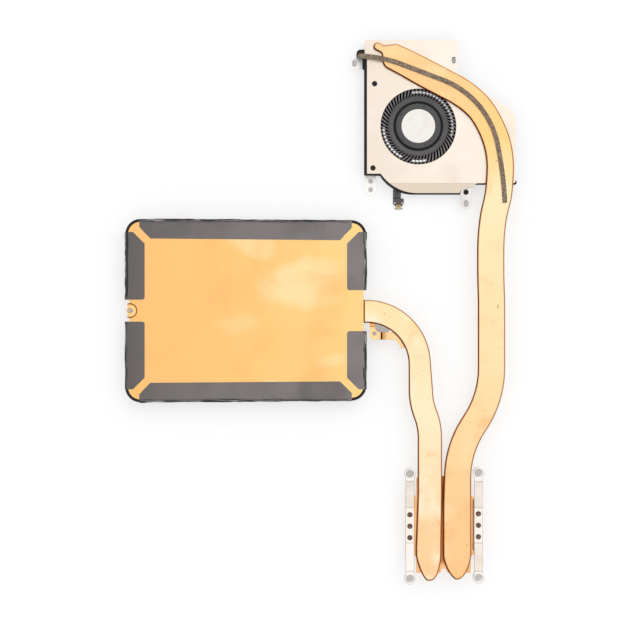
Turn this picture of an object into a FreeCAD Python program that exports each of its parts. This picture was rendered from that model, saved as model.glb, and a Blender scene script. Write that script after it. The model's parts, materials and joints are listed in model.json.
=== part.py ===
import FreeCAD, Part
import math
import os
from FreeCAD import Vector

# A laptop cooler: a flat blower, two flattened heat pipes, a cold plate with its two spring
# brackets, and a copper spreader plate with foam and tape round its rim.
# Sizes are in millimetres. The origin is the centre of the face that touches the processor,
# +Z points away from the processor, and +Y runs from the cold plate towards the blower.

# Small clearances between pieces
fit_gap = 0.02           # between two round pieces that are pressed or soldered together
hole_gap = 0.10          # round a screw or rivet shank, on the radius
round_share = 0.99       # a round end's radius as a share of half its width
overreach = 10.0         # how far a trimming solid reaches past the case

# Cold plate
contact_step = 0.3       # the contact face stands this far proud of the plate
contact_w = 15.0
contact_l = 21.0
plate_thick = 0.8
plate_top_y = 18.8
plate_bottom_y = -17.5
plate_left_margin = 0.5  # copper that shows beside the spreader's pipe
plate_right_margin = 0.2
plate_notch_depth = 1.6
plate_notch_w = 1.2
plate_notch_dx = 0.35    # from the middle of the gap between the pipes
plate_chamfer = 0.9
ear_top_y = 10.9
ear_bottom_y = -10.7
ear_lap = 1.6            # the ear runs this far past the rivets' line

# Spring brackets and rivets
screw_span_x = 26.0
screw_span_y = 39.3
screw_hole_r = 1.45
ring_r = 2.1
leaf_w = 3.2
spring_sheet = 0.3
spring_rise = 0.8        # how far the screw rings stand above the riveted middle
spring_flat_top = 7.0
spring_flat_bottom = -6.3
spring_bend_out = 2.9    # from a ring's centre to the leaf's outer bend
rivet_r = 0.65
rivet_head_r = 1.0
rivet_head_t = 0.2
rivet_dimple_r = 0.45
rivet_dimple_t = 0.12
rivet_pitch = 4.3

# Heat pipes
pipe_thick = 1.3
pipe_edge_r = 0.58       # the rolled edge of a flattened pipe
fan_pipe_w = 10.2
spreader_pipe_w = 9.1
pipe_gap = 0.7           # between the two pipes on the cold plate
pipe_gap_x = -0.64
tip_start_y = -10.2      # where both pipes begin to narrow
tip_r = 1.5
fan_tip_side_r = 12.7
spreader_tip_side_r = 15.4

# Blower's place, and the pipe's course over it
fan_x = -9.8
fan_y = 149.9
fan_bend_r = 33.75
fan_bend_dx = -2.7       # centre of the bend, from the blower's axis
fan_bend_dy = -15.5
fan_run_angle = 27.4     # how steeply the pipe crosses the cover
fan_run_length = 22.7
small_jog = 3.75
small_jog_length = 27.0
large_jog_length = 41.25
large_jog_end_y = 17.9
nipple_length = 4.0
nipple_w = 3.0
nipple_shift = 0.9       # off the pipe's centre line
crimp_length = 7.0
crimp_shoulder = 3.4
shoulder_r = 3.6
neck_r = 1.3

# The spreader's pipe
spreader_y = 80.7
spreader_bend_r = 20.25
spreader_drop = 9.4
spreader_jog = 3.4
spreader_jog_length = 18.0
pipe_under_spreader = 60.0
blunt_end = 2.3          # how far the hidden pipe end bulges

# Spreader plate, its drawn screw seat, foam and tapes
spreader_w = 88.4
spreader_h = 66.3
spreader_sheet = 0.4
spreader_corner_r = 4.5
spreader_setback = 1.2   # from the start of the pipe's bend back to the plate's edge
rim_w = 1.2              # foam and tape that show outside the plate
foam_under = 3.0         # foam that lies under the plate's edge
foam_floor_z = -1.3
left_gap = 8.2           # free edge between the upper and the lower foam
right_gap = 15.3
seat_r = 2.8
seat_depth = 0.9
seat_inset = 1.0         # hole centre to the plate's left edge
seat_hole_r = 0.8
seat_tab = 0.35
relief_w = 1.5
relief_depth = 0.5
tape_sheet = 0.1
tape_w = 6.15
tape_end_flat = 1.8
tape_setback_long = 4.4
tape_setback_short = 3.75
tape_fold = 2.2          # how far the tape reaches down the foam
tape_round_r = 1.0

# Screw bracket under the spreader's pipe
bracket_sheet = 0.3
bracket_rise = 0.6
bracket_left = 0.9       # from the start of the pipe's bend
bracket_w = 4.1
bracket_top = 14.5       # from the bend's centre up to the bracket's fold
bracket_low = 9.6
bracket_hole_r = 0.75
bracket_hole_dx = 1.72   # from the tab's lower left corner
bracket_hole_dy = 2.26
bracket_corner_r = 1.3
bracket_arm_h = 2.8
bracket_foot_w = 2.0
bracket_foot_lap = 1.7
bracket_scoop_r = 2.2
leaf_inset = 1.5         # bracket leaf that shows inside the bend
leaf_lap = 2.0           # bracket leaf under the pipe
leaf_from_deg = 25.6
leaf_to_deg = 47.0
leaf_end_r = 0.8

# Blower case
case_sheet = 0.3
floor_sheet = 0.45
case_inner = 3.7
impeller_r = 17.5
inlet_r = 14.2
volute_gap = 1.4
volute_dx = 1.9          # the air passage widens towards +X and -Y
volute_dy = -1.4
frame_wall = 1.4
frame_lip = 0.5          # frame that shows outside the cover
cover_setback = 1.05     # the same at the left
upper_block_lip = 0.2
outlet_top = 14.7        # from the impeller's rim to the upper edge
outlet_right = 18.8
block_right = 14.85
block_step = 2.4
shoulder_y = 4.6
shoulder_corner_r = 4.4
bottom_wall = 2.9
bend_above = 0.8         # from the passage's lowest point up to the cover's bend
cover_slope_drop = 0.9
bottom_curve_r = 16.4
curve_corner_x = -9.1
ledge_x = -14.1
ledge_y = -17.9
outer_screw_x = -16.4
outer_screw_y = 15.8
lower_screw_x = -17.0
lower_screw_y = -15.75
chassis_slot_x = 13.3
chassis_slot_y = 24.6
slot_w = 1.7
slot_l = 2.6
left_wall_top = 28.6
bump_out = 0.6
bump_low = 21.4
bump_high = 25.5
lug_out = 2.9
lug_l = 3.0
lug_z = -1.0
lug_corner_r = 1.6
passage_left_x = -12.7   # where the round chamber opens towards the left wall
passage_left_y = 13.3
case_corner_r = 0.5
frame_corner_r = 0.3
block_corner_r = 0.8
pad_clear = 0.3          # cover and floor stand off the loose ear
pad_clear_top = 0.1
pad_notch_low = 2.15     # the cover's cut round the ear's screw, from the ear's top
pad_notch_high = 0.8
vent_inner_r = 12.4
vent_outer_r = 16.2
vent_spans = ((-15, 100), (180, 243), (259, 285))

# Blower's mounting ears
ear_w = 4.1
left_ear_x = -23.9
left_ear_y = 23.85
lower_ear_x = -17.8
lower_ear_first_y = -20.4
lower_ear_second_y = -23.7
lower_hole_l = 1.95
right_ear_x = 17.9
right_ear_slot_y = -29.0
right_ear_top_y = -22.0
right_ear_z = -0.3
ear_sheet = 0.3

# Screws
screw_r = 0.55
screw_head_r = 1.0
screw_head_t = 0.35
screw_length = 2.2
right_screw_y = -24.75
cross_w = 0.3
cross_l = 1.1
cross_t = 0.15

# Fins
fin_sheet = 0.2
fin_pitch = 1.0
fin_skin = 0.15
fin_depth = 5.8
diagonal_fin_depth = 4.9
fin_inset = 0.3
top_fin_count = 33
diagonal_fin_count = 20
side_fin_count = 21

# Impeller
blade_count = 61
blade_thick = 0.32
blade_lean = 2.64        # degrees that a blade falls back for each millimetre outwards
blade_gap_top = 0.35
blade_gap_bottom = 0.5
hub_r = 8.3
hub_top_z = 0.6
hub_skin = 0.25
hub_wall = 0.35
groove_w = 1.0
groove_depth = 0.85
groove_floor = 0.3
flange_r = 10.8
flange_z = 0.3
flange_wall = 0.3
back_disc_r = 13.2
back_disc_t = 0.3
ring_w = 0.6
ring_t = 0.5
hub_notch_count = 5
hub_notch_r = 0.4
hub_notch_at = 7.4
hub_notch_first = 2.0
label_r = 6.3
label_t = 0.08

# Motor
shaft_r = 0.75
shaft_gap = 0.03         # running clearance in the sleeve
yoke_sheet = 0.25
yoke_bottom_z = -2.2
magnet_w = 0.65
magnet_top_gap = 0.15
magnet_h = 1.9
housing_wall = 0.7
housing_top_z = -0.4
housing_flange_r = 3.0
housing_flange_t = 0.25
sleeve_wall = 0.53
sleeve_recess = 0.05
thrust_t = 0.2
thrust_gap = 0.02
circuit_t = 0.15
circuit_r = 7.4
air_gap = 0.25
core_low_z = -1.9
core_t = 1.2
pole_count = 6
pole_w = 0.9
pole_shoe_w = 0.5
pole_shoe_gap = 12.0     # degrees between two shoes
core_ring_w = 1.2
coil_wall = 0.5
coil_end_gap = 0.1
coil_round = 0.4

# Flex tail and its plug end
flex_t = 0.15
flex_w = 2.95
flex_inner_w = 2.4
flex_angle = 249.5
flex_end_y = -29.6
flex_x = -7.9
head_w = 3.9
head_shift = 0.6         # the plug end sits off the flex's middle
head_top_y = -27.0
head_bottom_y = -30.0
head_t = 0.25
head_neck = 0.2          # board beside the tongue at its narrow end
head_corner_r = 0.5
head_taper_r = 0.4
head_dot_r = 0.28
head_dot_dx = 1.4
head_dot_dy = 0.1
contact_count = 4
contact_pad_w = 0.3
contact_pitch = 0.5
contact_t = 0.05
contact_margin = 0.1
tail_w = 2.0
tail_end_y = -31.1
wing_w = 2.8
wing_h = 0.5

# Felt strip
strip_w = 1.75
strip_rise = 0.7         # how far it stands above the pipe
strip_start_dx = -23.0
strip_start_dy = 26.1
strip_slant = 0.6
strip_heading = -2.6
strip_lead = 1.4         # straight, arc, straight, arc, wide arc
strip_first_r = 50.2
strip_first_deg = 18.3
strip_middle = 16.2
strip_second_r = 32.7
strip_second_deg = 57.4
strip_last_r = 139.7
strip_last_deg = 9.1
strip_pipe_gap = 0.05

# Heights worked out from the layers
plate_z = contact_step
pipe_z = plate_z + plate_thick
pipe_top_z = pipe_z + pipe_thick
cover_z = pipe_z - case_sheet
case_floor_z = cover_z - case_inner
case_low_z = case_floor_z - floor_sheet
spreader_z = pipe_top_z
spreader_top_z = spreader_z + spreader_sheet

# Places worked out from the widths and the routes
spreader_pipe_x = pipe_gap_x - (pipe_gap + spreader_pipe_w) / 2
fan_pipe_x = pipe_gap_x + (pipe_gap + fan_pipe_w) / 2
bend_x = spreader_pipe_x - spreader_jog - spreader_bend_r
bend_y = spreader_y - spreader_bend_r
spreader_right = bend_x - spreader_setback
spreader_left = spreader_right - spreader_w
spreader_top = spreader_y + spreader_h / 2
spreader_bottom = spreader_y - spreader_h / 2
hole_x = screw_span_x / 2
hole_y = screw_span_y / 2

# The blower's case, worked out from the impeller. These places are from the blower's axis.
passage_r = impeller_r + volute_gap + volute_dx
passage_low = volute_dy - passage_r
frame_left = -(impeller_r + volute_gap) - frame_wall
cover_bottom = passage_low - bottom_wall
cover_bend = passage_low + bend_above
case_top = impeller_r + outlet_top
case_right = impeller_r + outlet_right
step_y = impeller_r + block_step

# The impeller and motor, worked out from the case's heights
blade_top_z = cover_z - blade_gap_top
blade_low_z = case_floor_z + blade_gap_bottom
yoke_r = hub_r - hub_wall - fit_gap
yoke_top_z = hub_top_z - hub_skin - fit_gap
yoke_under_z = yoke_top_z - yoke_sheet
magnet_r = yoke_r - yoke_sheet - fit_gap
core_r = magnet_r - magnet_w - air_gap
sleeve_r = shaft_r + shaft_gap + sleeve_wall
housing_r = sleeve_r + fit_gap + housing_wall


def up(height):
    return Vector(0, 0, height)


def corner_arc(before, corner, after, radius):
    """Start, middle and end of the arc that rounds one corner."""
    back = (before - corner).normalize()
    ahead = (after - corner).normalize()
    half = back.getAngle(ahead) / 2
    reach = radius / math.tan(half)
    towards = (back + ahead).normalize()
    middle = corner + towards * (radius / math.sin(half) - radius)
    return corner + back * reach, middle, corner + ahead * reach


def joined(start, end):
    """A straight edge, or nothing where two points meet."""
    if start.distanceToPoint(end) < 1e-6:
        return []
    return [Part.LineSegment(start, end).toShape()]


def rounded_edges(corners, closed):
    """Edges through corners given as (x, y, radius); an open line's ends stay sharp."""
    points = [Vector(c[0], c[1], 0) for c in corners]
    count = len(points)
    edges = []
    first = None
    last = None
    for i, (corner, point) in enumerate(zip(corners, points)):
        ends = not closed and i in (0, count - 1)
        if ends or corner[2] == 0:
            start, end = point, point
        else:
            start, middle, end = corner_arc(points[i - 1], point, points[(i + 1) % count], corner[2])
        if last is not None:
            edges += joined(last, start)
        if start is not end:
            edges.append(Part.Arc(start, middle, end).toShape())
        first = first or start
        last = end
    if closed:
        edges += joined(last, first)
    return edges


def prism_of(edges, low, high):
    """A solid with the edges as its outline, between two heights."""
    face = Part.Face(Part.Wire(Part.sortEdges(edges)[0]))
    solid = face.extrude(up(high - low))
    solid.translate(up(low))
    return solid


def prism(corners, low, high):
    return prism_of(rounded_edges(corners, True), low, high)


def box(x0, x1, y0, y1, z0, z1):
    return Part.makeBox(x1 - x0, y1 - y0, z1 - z0, Vector(x0, y0, z0))


def disc(x, y, radius, low, high):
    return Part.makeCylinder(radius, high - low, Vector(x, y, low))


def ring(x, y, inner, outer, low, high):
    return disc(x, y, outer, low, high).cut(disc(x, y, inner, low, high))


def slot(x, y, width, length, low, high):
    """An upright slot, longer along Y."""
    r = width / 2
    top = y + length / 2
    bottom = y - length / 2
    corners = [(x - r, bottom, r), (x + r, bottom, r), (x + r, top, r), (x - r, top, r)]
    return prism(shorten(corners), low, high)


def shorten(corners):
    """Draws end radii in a little, so that two arcs never meet in one point."""
    return [(x, y, round_share * r) for x, y, r in corners]


def wedge(x, y, inner, outer, from_deg, to_deg, low, high):
    """Part of a ring between two angles."""
    centre = Vector(x, y, 0)

    def at(radius, degrees):
        angle = math.radians(degrees)
        return centre + Vector(radius * math.cos(angle), radius * math.sin(angle), 0)

    middle = (from_deg + to_deg) / 2
    edges = [
        Part.Arc(at(inner, from_deg), at(inner, middle), at(inner, to_deg)).toShape(),
        Part.Arc(at(outer, from_deg), at(outer, middle), at(outer, to_deg)).toShape(),
        Part.LineSegment(at(inner, from_deg), at(outer, from_deg)).toShape(),
        Part.LineSegment(at(inner, to_deg), at(outer, to_deg)).toShape(),
    ]
    return prism_of(edges, low, high)


def folded_sheet(profile, thickness, x0, x1):
    """A bent sheet: a line of (y, z) points, given a thickness downwards, drawn out along X."""
    upper = [Vector(x0, y, z) for y, z in profile]
    lower = [Vector(x0, y, z - thickness) for y, z in reversed(profile)]
    wire = Part.makePolygon(upper + lower + [upper[0]])
    return Part.Face(wire).extrude(Vector(x1 - x0, 0, 0))


def fused(shapes):
    whole = shapes[0].multiFuse(shapes[1:]) if len(shapes) > 1 else shapes[0]
    return whole.removeSplitter()


def save(name, shape):
    """Writes one node, after a look at its solids."""
    solids = shape.Solids
    if not solids or not all(s.isValid() for s in solids):
        raise ValueError(name + " is not a sound solid")
    whole = solids[0] if len(solids) == 1 else Part.makeCompound(solids)
    whole.exportStep("parts/" + name + ".step")


class Route:
    """A flat centre line of straight runs and tangent arcs."""

    def __init__(self, x, y, heading_deg):
        self.point = Vector(x, y, 0)
        self.heading = math.radians(heading_deg)
        self.pieces = []

    def left(self):
        return Vector(-math.sin(self.heading), math.cos(self.heading), 0)

    def ahead(self, length):
        start = self.point
        self.point = start + Vector(math.cos(self.heading), math.sin(self.heading), 0) * length
        self.pieces.append(("line", start, self.point, self.left()))
        return self

    def turn(self, radius, degrees):
        """An arc, to the left for a positive angle."""
        side = math.copysign(1, degrees)
        centre = self.point + self.left() * (radius * side)
        spoke = self.point - centre
        angle = math.radians(degrees)
        self.pieces.append(("arc", centre, spoke, angle))
        self.point = centre + turned(spoke, angle)
        self.heading += angle
        return self

    def jog(self, sideways, length):
        """Two equal arcs that shift the line sideways, to the left if positive."""
        angle = 2 * math.atan(abs(sideways) / length)
        radius = length / (2 * math.sin(angle))
        degrees = math.copysign(math.degrees(angle), sideways)
        return self.turn(radius, degrees).turn(radius, -degrees)

    def side(self, offset):
        """Edges beside the line, offset to the left if positive."""
        edges = []
        for kind, a, b, c in self.pieces:
            if kind == "line":
                edges += joined(a + c * offset, b + c * offset)
            else:
                inwards = math.copysign(1, c)
                spoke = b * ((b.Length - offset * inwards) / b.Length)
                points = [a + turned(spoke, c * share) for share in (0, 0.5, 1)]
                edges.append(Part.Arc(*points).toShape())
        return edges

    def band(self, width, low, high, extra=()):
        """A strip along the line, with square ends or with the edges given for them."""
        left = self.side(width / 2)
        right = self.side(-width / 2)
        caps = list(extra)
        if not caps:
            caps = joined(left[0].Vertexes[0].Point, right[0].Vertexes[0].Point)
            caps += joined(left[-1].Vertexes[-1].Point, right[-1].Vertexes[-1].Point)
        return prism_of(left + right + caps, low, high)


def turned(vector, angle):
    c, s = math.cos(angle), math.sin(angle)
    return Vector(vector.x * c - vector.y * s, vector.x * s + vector.y * c, 0)


def pointed_tip(x, y, width, side_r, end_r):
    """Edges of a pipe's narrowed end, which points along -Y from (x, y)."""
    half = width / 2
    drop = math.sqrt((side_r - end_r) ** 2 - (side_r - half) ** 2)
    nose = Vector(x, y - drop, 0)
    edges = []
    for side in (1, -1):
        centre = Vector(x - side * (side_r - half), y, 0)
        away = (nose - centre).normalize()
        meet = centre + away * side_r
        start = Vector(x + side * half, y, 0)
        bisector = (start - centre + away * side_r).normalize()
        edges.append(Part.Arc(start, centre + bisector * side_r, meet).toShape())
    meets = [e.Vertexes[-1].Point for e in edges]
    edges.append(Part.Arc(meets[0], nose - Vector(0, end_r, 0), meets[1]).toShape())
    return edges


def rolled(solid, radius):
    """Rounds the upper and lower rims of a flat solid."""
    ends = (solid.BoundBox.ZMin, solid.BoundBox.ZMax)
    flat = [e for e in solid.Edges if e.BoundBox.ZLength < 1e-6]
    rims = [e for e in flat if min(abs(e.BoundBox.ZMin - z) for z in ends) < 1e-6]
    return solid.makeFillet(radius, rims)


def fan_pipe_route():
    """From the crimped end over the blower down to where the tip begins."""
    slope = math.radians(fan_run_angle)
    centre_x = fan_x + fan_bend_dx
    centre_y = fan_y + fan_bend_dy
    bend_from_x = centre_x + fan_bend_r * math.sin(slope)
    bend_from_y = centre_y + fan_bend_r * math.cos(slope)
    start_x = bend_from_x - fan_run_length * math.cos(slope)
    start_y = bend_from_y + fan_run_length * math.sin(slope)
    route = Route(start_x, start_y, -fan_run_angle)
    route.ahead(fan_run_length)
    route.turn(fan_bend_r, fan_run_angle - 90)
    route.jog(-small_jog, small_jog_length)
    straight = route.point.y - large_jog_end_y - large_jog_length
    route.ahead(straight)
    route.jog(fan_pipe_x - route.point.x, large_jog_length)
    route.ahead(large_jog_end_y - tip_start_y)
    return route


def crimped_end(route):
    """Edges of the pipe's pinched filling end, in the route's first direction."""
    origin = route.pieces[0][1]
    out = (route.pieces[0][1] - route.pieces[0][2]).normalize()
    side = route.pieces[0][3]
    half = fan_pipe_w / 2
    upper = nipple_shift + nipple_w / 2
    lower = nipple_shift - nipple_w / 2
    far = crimp_length + nipple_length
    outline = [
        (0, half, 0),
        (crimp_shoulder, half, shoulder_r / 2),
        (crimp_length, upper, neck_r),
        (far, upper, nipple_w / 2 * round_share),
        (far, lower, nipple_w / 2 * round_share),
        (crimp_length, lower, neck_r),
        (crimp_shoulder + neck_r / 2, -half, shoulder_r),
        (0, -half, 0),
    ]
    placed = []
    for along, across, radius in outline:
        spot = origin + out * along + side * across
        placed.append((spot.x, spot.y, radius))
    return rounded_edges(placed, False)


def heat_pipe_fan():
    route = fan_pipe_route()
    tip = pointed_tip(fan_pipe_x, tip_start_y, fan_pipe_w, fan_tip_side_r, tip_r)
    body = route.band(fan_pipe_w, pipe_z, pipe_top_z, crimped_end(route) + tip)
    return rolled(body, pipe_edge_r)


def spreader_pipe_route():
    """From where the tip begins, up the board and in under the spreader plate."""
    route = Route(spreader_pipe_x, tip_start_y, 90)
    rise = bend_y - spreader_drop - spreader_jog_length - tip_start_y
    route.ahead(rise)
    route.jog(spreader_jog, spreader_jog_length)
    route.ahead(spreader_drop)
    route.turn(spreader_bend_r, 90)
    route.ahead(spreader_setback + pipe_under_spreader)
    return route


def heat_pipe_spreader():
    route = spreader_pipe_route()
    tip = pointed_tip(spreader_pipe_x, tip_start_y, spreader_pipe_w, spreader_tip_side_r, tip_r)
    left = route.side(spreader_pipe_w / 2)[-1].Vertexes[-1].Point
    right = route.side(-spreader_pipe_w / 2)[-1].Vertexes[-1].Point
    blunt = Part.Arc(left, route.point - Vector(blunt_end, 0, 0), right).toShape()
    body = route.band(spreader_pipe_w, pipe_z, pipe_top_z, tip + [blunt])
    return rolled(body, pipe_edge_r)


def cold_plate():
    left = spreader_pipe_x - spreader_pipe_w / 2 - plate_left_margin
    right = fan_pipe_x + fan_pipe_w / 2 + plate_right_margin
    ear = hole_x + ear_lap
    notch = plate_notch_w / 2
    shoulder = plate_bottom_y + plate_notch_depth
    middle = pipe_gap_x + plate_notch_dx
    cut = plate_chamfer
    corners = [
        (left, plate_bottom_y), (middle - notch - cut, plate_bottom_y), (middle - notch, shoulder),
        (middle + notch, shoulder), (middle + notch + cut, plate_bottom_y), (right, plate_bottom_y),
        (right, ear_bottom_y - cut), (right + cut, ear_bottom_y), (ear, ear_bottom_y),
        (ear, ear_top_y), (right + cut, ear_top_y), (right, ear_top_y + cut),
        (right, plate_top_y), (left + cut, plate_top_y), (left, plate_top_y - cut),
        (left, ear_top_y + cut), (left - cut, ear_top_y), (-ear, ear_top_y),
        (-ear, ear_bottom_y), (left - cut, ear_bottom_y), (left, ear_bottom_y - cut),
    ]
    body = prism([(x, y, 0) for x, y in corners], plate_z, pipe_z)
    face = box(-contact_w / 2, contact_w / 2, -contact_l / 2, contact_l / 2, 0, plate_z)
    whole = fused([body, face])
    for x, y in rivet_places():
        whole = whole.cut(disc(x, y, rivet_r + hole_gap, plate_z, pipe_z))
    return whole


def rivet_places():
    rows = (-rivet_pitch, 0, rivet_pitch)
    return [(side * hole_x, y) for side in (-1, 1) for y in rows]


def spring_bracket(side):
    """One leaf spring along Y, on the left (-1) or the right (1) of the cold plate."""
    x = side * hole_x
    top = pipe_z + spring_sheet
    high = top + spring_rise
    bend = hole_y - spring_bend_out
    profile = [
        (hole_y, high), (bend, high), (spring_flat_top, top),
        (spring_flat_bottom, top), (-bend, high), (-hole_y, high),
    ]
    shapes = [folded_sheet(profile, spring_sheet, x - leaf_w / 2, x + leaf_w / 2)]
    for y in (-hole_y, hole_y):
        shapes.append(disc(x, y, ring_r, high - spring_sheet, high))
    whole = fused(shapes)
    for y in (-hole_y, hole_y):
        whole = whole.cut(disc(x, y, screw_hole_r, high - spring_sheet, high))
    for y in (-rivet_pitch, 0, rivet_pitch):
        whole = whole.cut(disc(x, y, rivet_r + hole_gap, pipe_z, top))
    return whole


def bracket_rivets():
    """Six rivets with a shallow dimple, headed over the bracket and under the plate's ear."""
    top = pipe_z + spring_sheet
    rivets = []
    for x, y in rivet_places():
        shank = disc(x, y, rivet_r, plate_z, top)
        upper = disc(x, y, rivet_head_r, top, top + rivet_head_t)
        lower = disc(x, y, rivet_head_r, plate_z - rivet_head_t, plate_z)
        dimple = disc(x, y, rivet_dimple_r, top + rivet_head_t - rivet_dimple_t, top + rivet_head_t)
        rivets.append(fused([shank, upper, lower]).cut(dimple))
    return Part.makeCompound(rivets)


def spreader_outline(grow, low, high):
    """The plate's rounded rectangle, grown by a margin."""
    r = spreader_corner_r + grow
    x0, x1 = spreader_left - grow, spreader_right + grow
    y0, y1 = spreader_bottom - grow, spreader_top + grow
    return prism([(x0, y0, r), (x1, y0, r), (x1, y1, r), (x0, y1, r)], low, high)


def spreader_plate():
    seat_x = spreader_left + seat_inset
    seat_top = spreader_top_z - seat_depth
    plate = spreader_outline(0, spreader_z, spreader_top_z)
    plate = plate.cut(disc(seat_x, spreader_y, seat_r, spreader_z, spreader_top_z))
    for side in (-1, 1):
        y = spreader_y + side * (seat_r + (left_gap / 2 - seat_r) / 2)
        half = min(relief_w / 2, (left_gap / 2 - seat_r) / 2)
        plate = plate.cut(box(spreader_left, spreader_left + relief_depth, y - half, y + half,
                              spreader_z, spreader_top_z))
    base = disc(seat_x, spreader_y, seat_r, seat_top - spreader_sheet, seat_top)
    wall = ring(seat_x, spreader_y, seat_r - spreader_sheet, seat_r, seat_top, spreader_top_z)
    seat = fused([base, wall])
    kept = box(spreader_left - seat_tab, seat_x + seat_r, spreader_y - seat_r, spreader_y + seat_r,
               seat_top - spreader_sheet, spreader_top_z)
    plate = fused([plate, seat.common(kept)])
    return plate.cut(disc(seat_x, spreader_y, seat_hole_r, seat_top - spreader_sheet, seat_top))


def gasket(side):
    """Half of the foam round the plate's edge, above (1) or below (-1) its middle."""
    outer = rim_w - tape_sheet
    under = spreader_outline(outer, foam_floor_z, spreader_z)
    under = under.cut(spreader_outline(-foam_under, foam_floor_z, spreader_z))
    lip = spreader_outline(outer, spreader_z, spreader_top_z)
    lip = lip.cut(spreader_outline(0, spreader_z, spreader_top_z))
    whole = fused([under, lip])
    reach = foam_under + rim_w
    for x, gap in ((spreader_left, left_gap), (spreader_right, right_gap)):
        whole = whole.cut(box(x - reach, x + reach, spreader_y - gap / 2, spreader_y + gap / 2,
                              foam_floor_z, spreader_top_z))
    half = spreader_h / 2 + rim_w
    low = spreader_y if side > 0 else spreader_y - half
    keep = box(spreader_left - rim_w, spreader_right + rim_w, low, low + half,
               foam_floor_z, spreader_top_z)
    return whole.common(keep)


def edge_tape(length, first_setback, last_setback, blunt_end):
    """One tape along +X from the plate's corner at the origin, with the plate above the line.

    It lies on the plate and the foam and folds down outside. A diagonal end faces the next
    tape across the plate's corner; a blunt end stops at a free edge."""
    z0, z1 = spreader_top_z, spreader_top_z + tape_sheet
    cut = tape_w - tape_end_flat
    end = length - last_setback
    corners = [(first_setback, -rim_w, 0)]
    if blunt_end:
        corners += [(end, -rim_w, 0), (end, tape_w, tape_round_r)]
    else:
        corners += [(end, -rim_w, 0), (end, tape_end_flat, 0), (end - cut, tape_w, 0)]
    corners += [(first_setback + cut, tape_w, 0), (first_setback, tape_end_flat, 0)]
    flat = prism(corners, z0, z1)
    fold = box(first_setback, end, -rim_w, -rim_w + tape_sheet, z1 - tape_fold, z1)
    return fused([flat, fold])


def placed_tape(shape, x, y, degrees, mirrored):
    """Puts a tape at a corner of the plate, turned and if need be mirrored."""
    if mirrored:
        shape = shape.mirror(Vector(0, 0, 0), Vector(1, 0, 0))
    shape.rotate(Vector(0, 0, 0), Vector(0, 0, 1), degrees)
    shape.translate(Vector(x, y, 0))
    return shape


def tapes():
    """Six tapes: one along the top, one along the bottom and two at each side."""
    long_tape = (spreader_w, tape_setback_long, tape_setback_long, False)
    left_end = spreader_h / 2 - left_gap / 2
    right_end = spreader_h / 2 - right_gap / 2
    left_tape = (left_end, tape_setback_short, 0, True)
    right_tape = (right_end, tape_setback_short, 0, True)
    x0, x1, y0, y1 = spreader_left, spreader_right, spreader_bottom, spreader_top
    return {
        "tape_bottom": placed_tape(edge_tape(*long_tape), x0, y0, 0, False),
        "tape_top": placed_tape(edge_tape(*long_tape), x1, y1, 180, False),
        "tape_left_upper": placed_tape(edge_tape(*left_tape), x0, y1, 270, False),
        "tape_left_lower": placed_tape(edge_tape(*left_tape), x0, y0, 270, True),
        "tape_right_lower": placed_tape(edge_tape(*right_tape), x1, y0, 90, False),
        "tape_right_upper": placed_tape(edge_tape(*right_tape), x1, y1, 90, True),
    }


def pipe_bracket():
    """A bent copper bracket under the inside of the bend: foot, raised tab, arm and leaf."""
    top = pipe_z
    low = top - bracket_sheet
    high = top + bracket_rise
    x0 = bend_x + bracket_left
    x1 = x0 + bracket_w
    fold_y = bend_y + bracket_top
    low_y = bend_y + bracket_low
    arm_top = low_y + bracket_arm_h
    foot_top = bend_y + spreader_bend_r - spreader_pipe_w / 2 + bracket_foot_lap
    r = bracket_corner_r
    tab = prism([(x0, low_y, r), (x1, low_y, 0), (x1, fold_y, 0), (x0, fold_y, 0)],
                high - bracket_sheet, high)
    tab = tab.cut(disc(x1, fold_y, bracket_scoop_r, high - bracket_sheet, high))
    foot = box(x0, x0 + bracket_foot_w, fold_y - bracket_sheet, foot_top, low, top)
    riser = box(x0, x0 + bracket_foot_w, fold_y - bracket_sheet, fold_y, low, high)
    step = box(x1 - bracket_sheet, x1, low_y, arm_top, low, high)
    inner = spreader_bend_r - spreader_pipe_w / 2 - leaf_inset
    outer = inner + leaf_inset + leaf_lap
    leaf = wedge(bend_x, bend_y, inner, outer, leaf_from_deg, leaf_to_deg, low, top)
    corner = [e for e in leaf.Edges if e.BoundBox.ZLength > bracket_sheet / 2]
    corner.sort(key=lambda e: (e.CenterOfMass.y, e.CenterOfMass.x))
    leaf = leaf.makeFillet(leaf_end_r, corner[:1])
    reach_x = bend_x + (inner + leaf_inset) * math.cos(math.radians(leaf_to_deg))
    arm = box(x1 - bracket_sheet, reach_x, low_y, arm_top, low, top)
    whole = fused([tab, foot, riser, step, arm, leaf])
    hole = disc(x0 + bracket_hole_dx, low_y + bracket_hole_dy, bracket_hole_r,
                high - bracket_sheet, high)
    return whole.cut(hole)


def cover_corners():
    """The cover's outline, anticlockwise from its lower right corner."""
    left = frame_left + cover_setback
    upper_left = frame_left + upper_block_lip
    pad_left = right_ear_x - ear_w / 2
    return [
        (case_right, cover_bend, case_corner_r),
        (case_right, shoulder_y, shoulder_corner_r),
        (block_right, step_y, 0),
        (block_right, case_top, frame_corner_r),
        (upper_left, case_top, block_corner_r),
        (upper_left, bump_high, 0),
        (left, bump_high, 0),
        (left, ledge_y, 0),
        (ledge_x, ledge_y, 0),
        (curve_corner_x, cover_bottom, bottom_curve_r),
        (pad_left - pad_clear, cover_bottom, 0),
        (pad_left - pad_clear_top, right_ear_top_y - pad_notch_low, 0),
        (right_ear_x + ear_w / 2, right_ear_top_y - pad_notch_high, 0),
        (right_ear_x + ear_w, cover_bend - pad_clear_top, 0),
    ]


def from_axis(corners):
    return [(fan_x + c[0], fan_y + c[1], c[2] if len(c) > 2 else 0) for c in corners]


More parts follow.
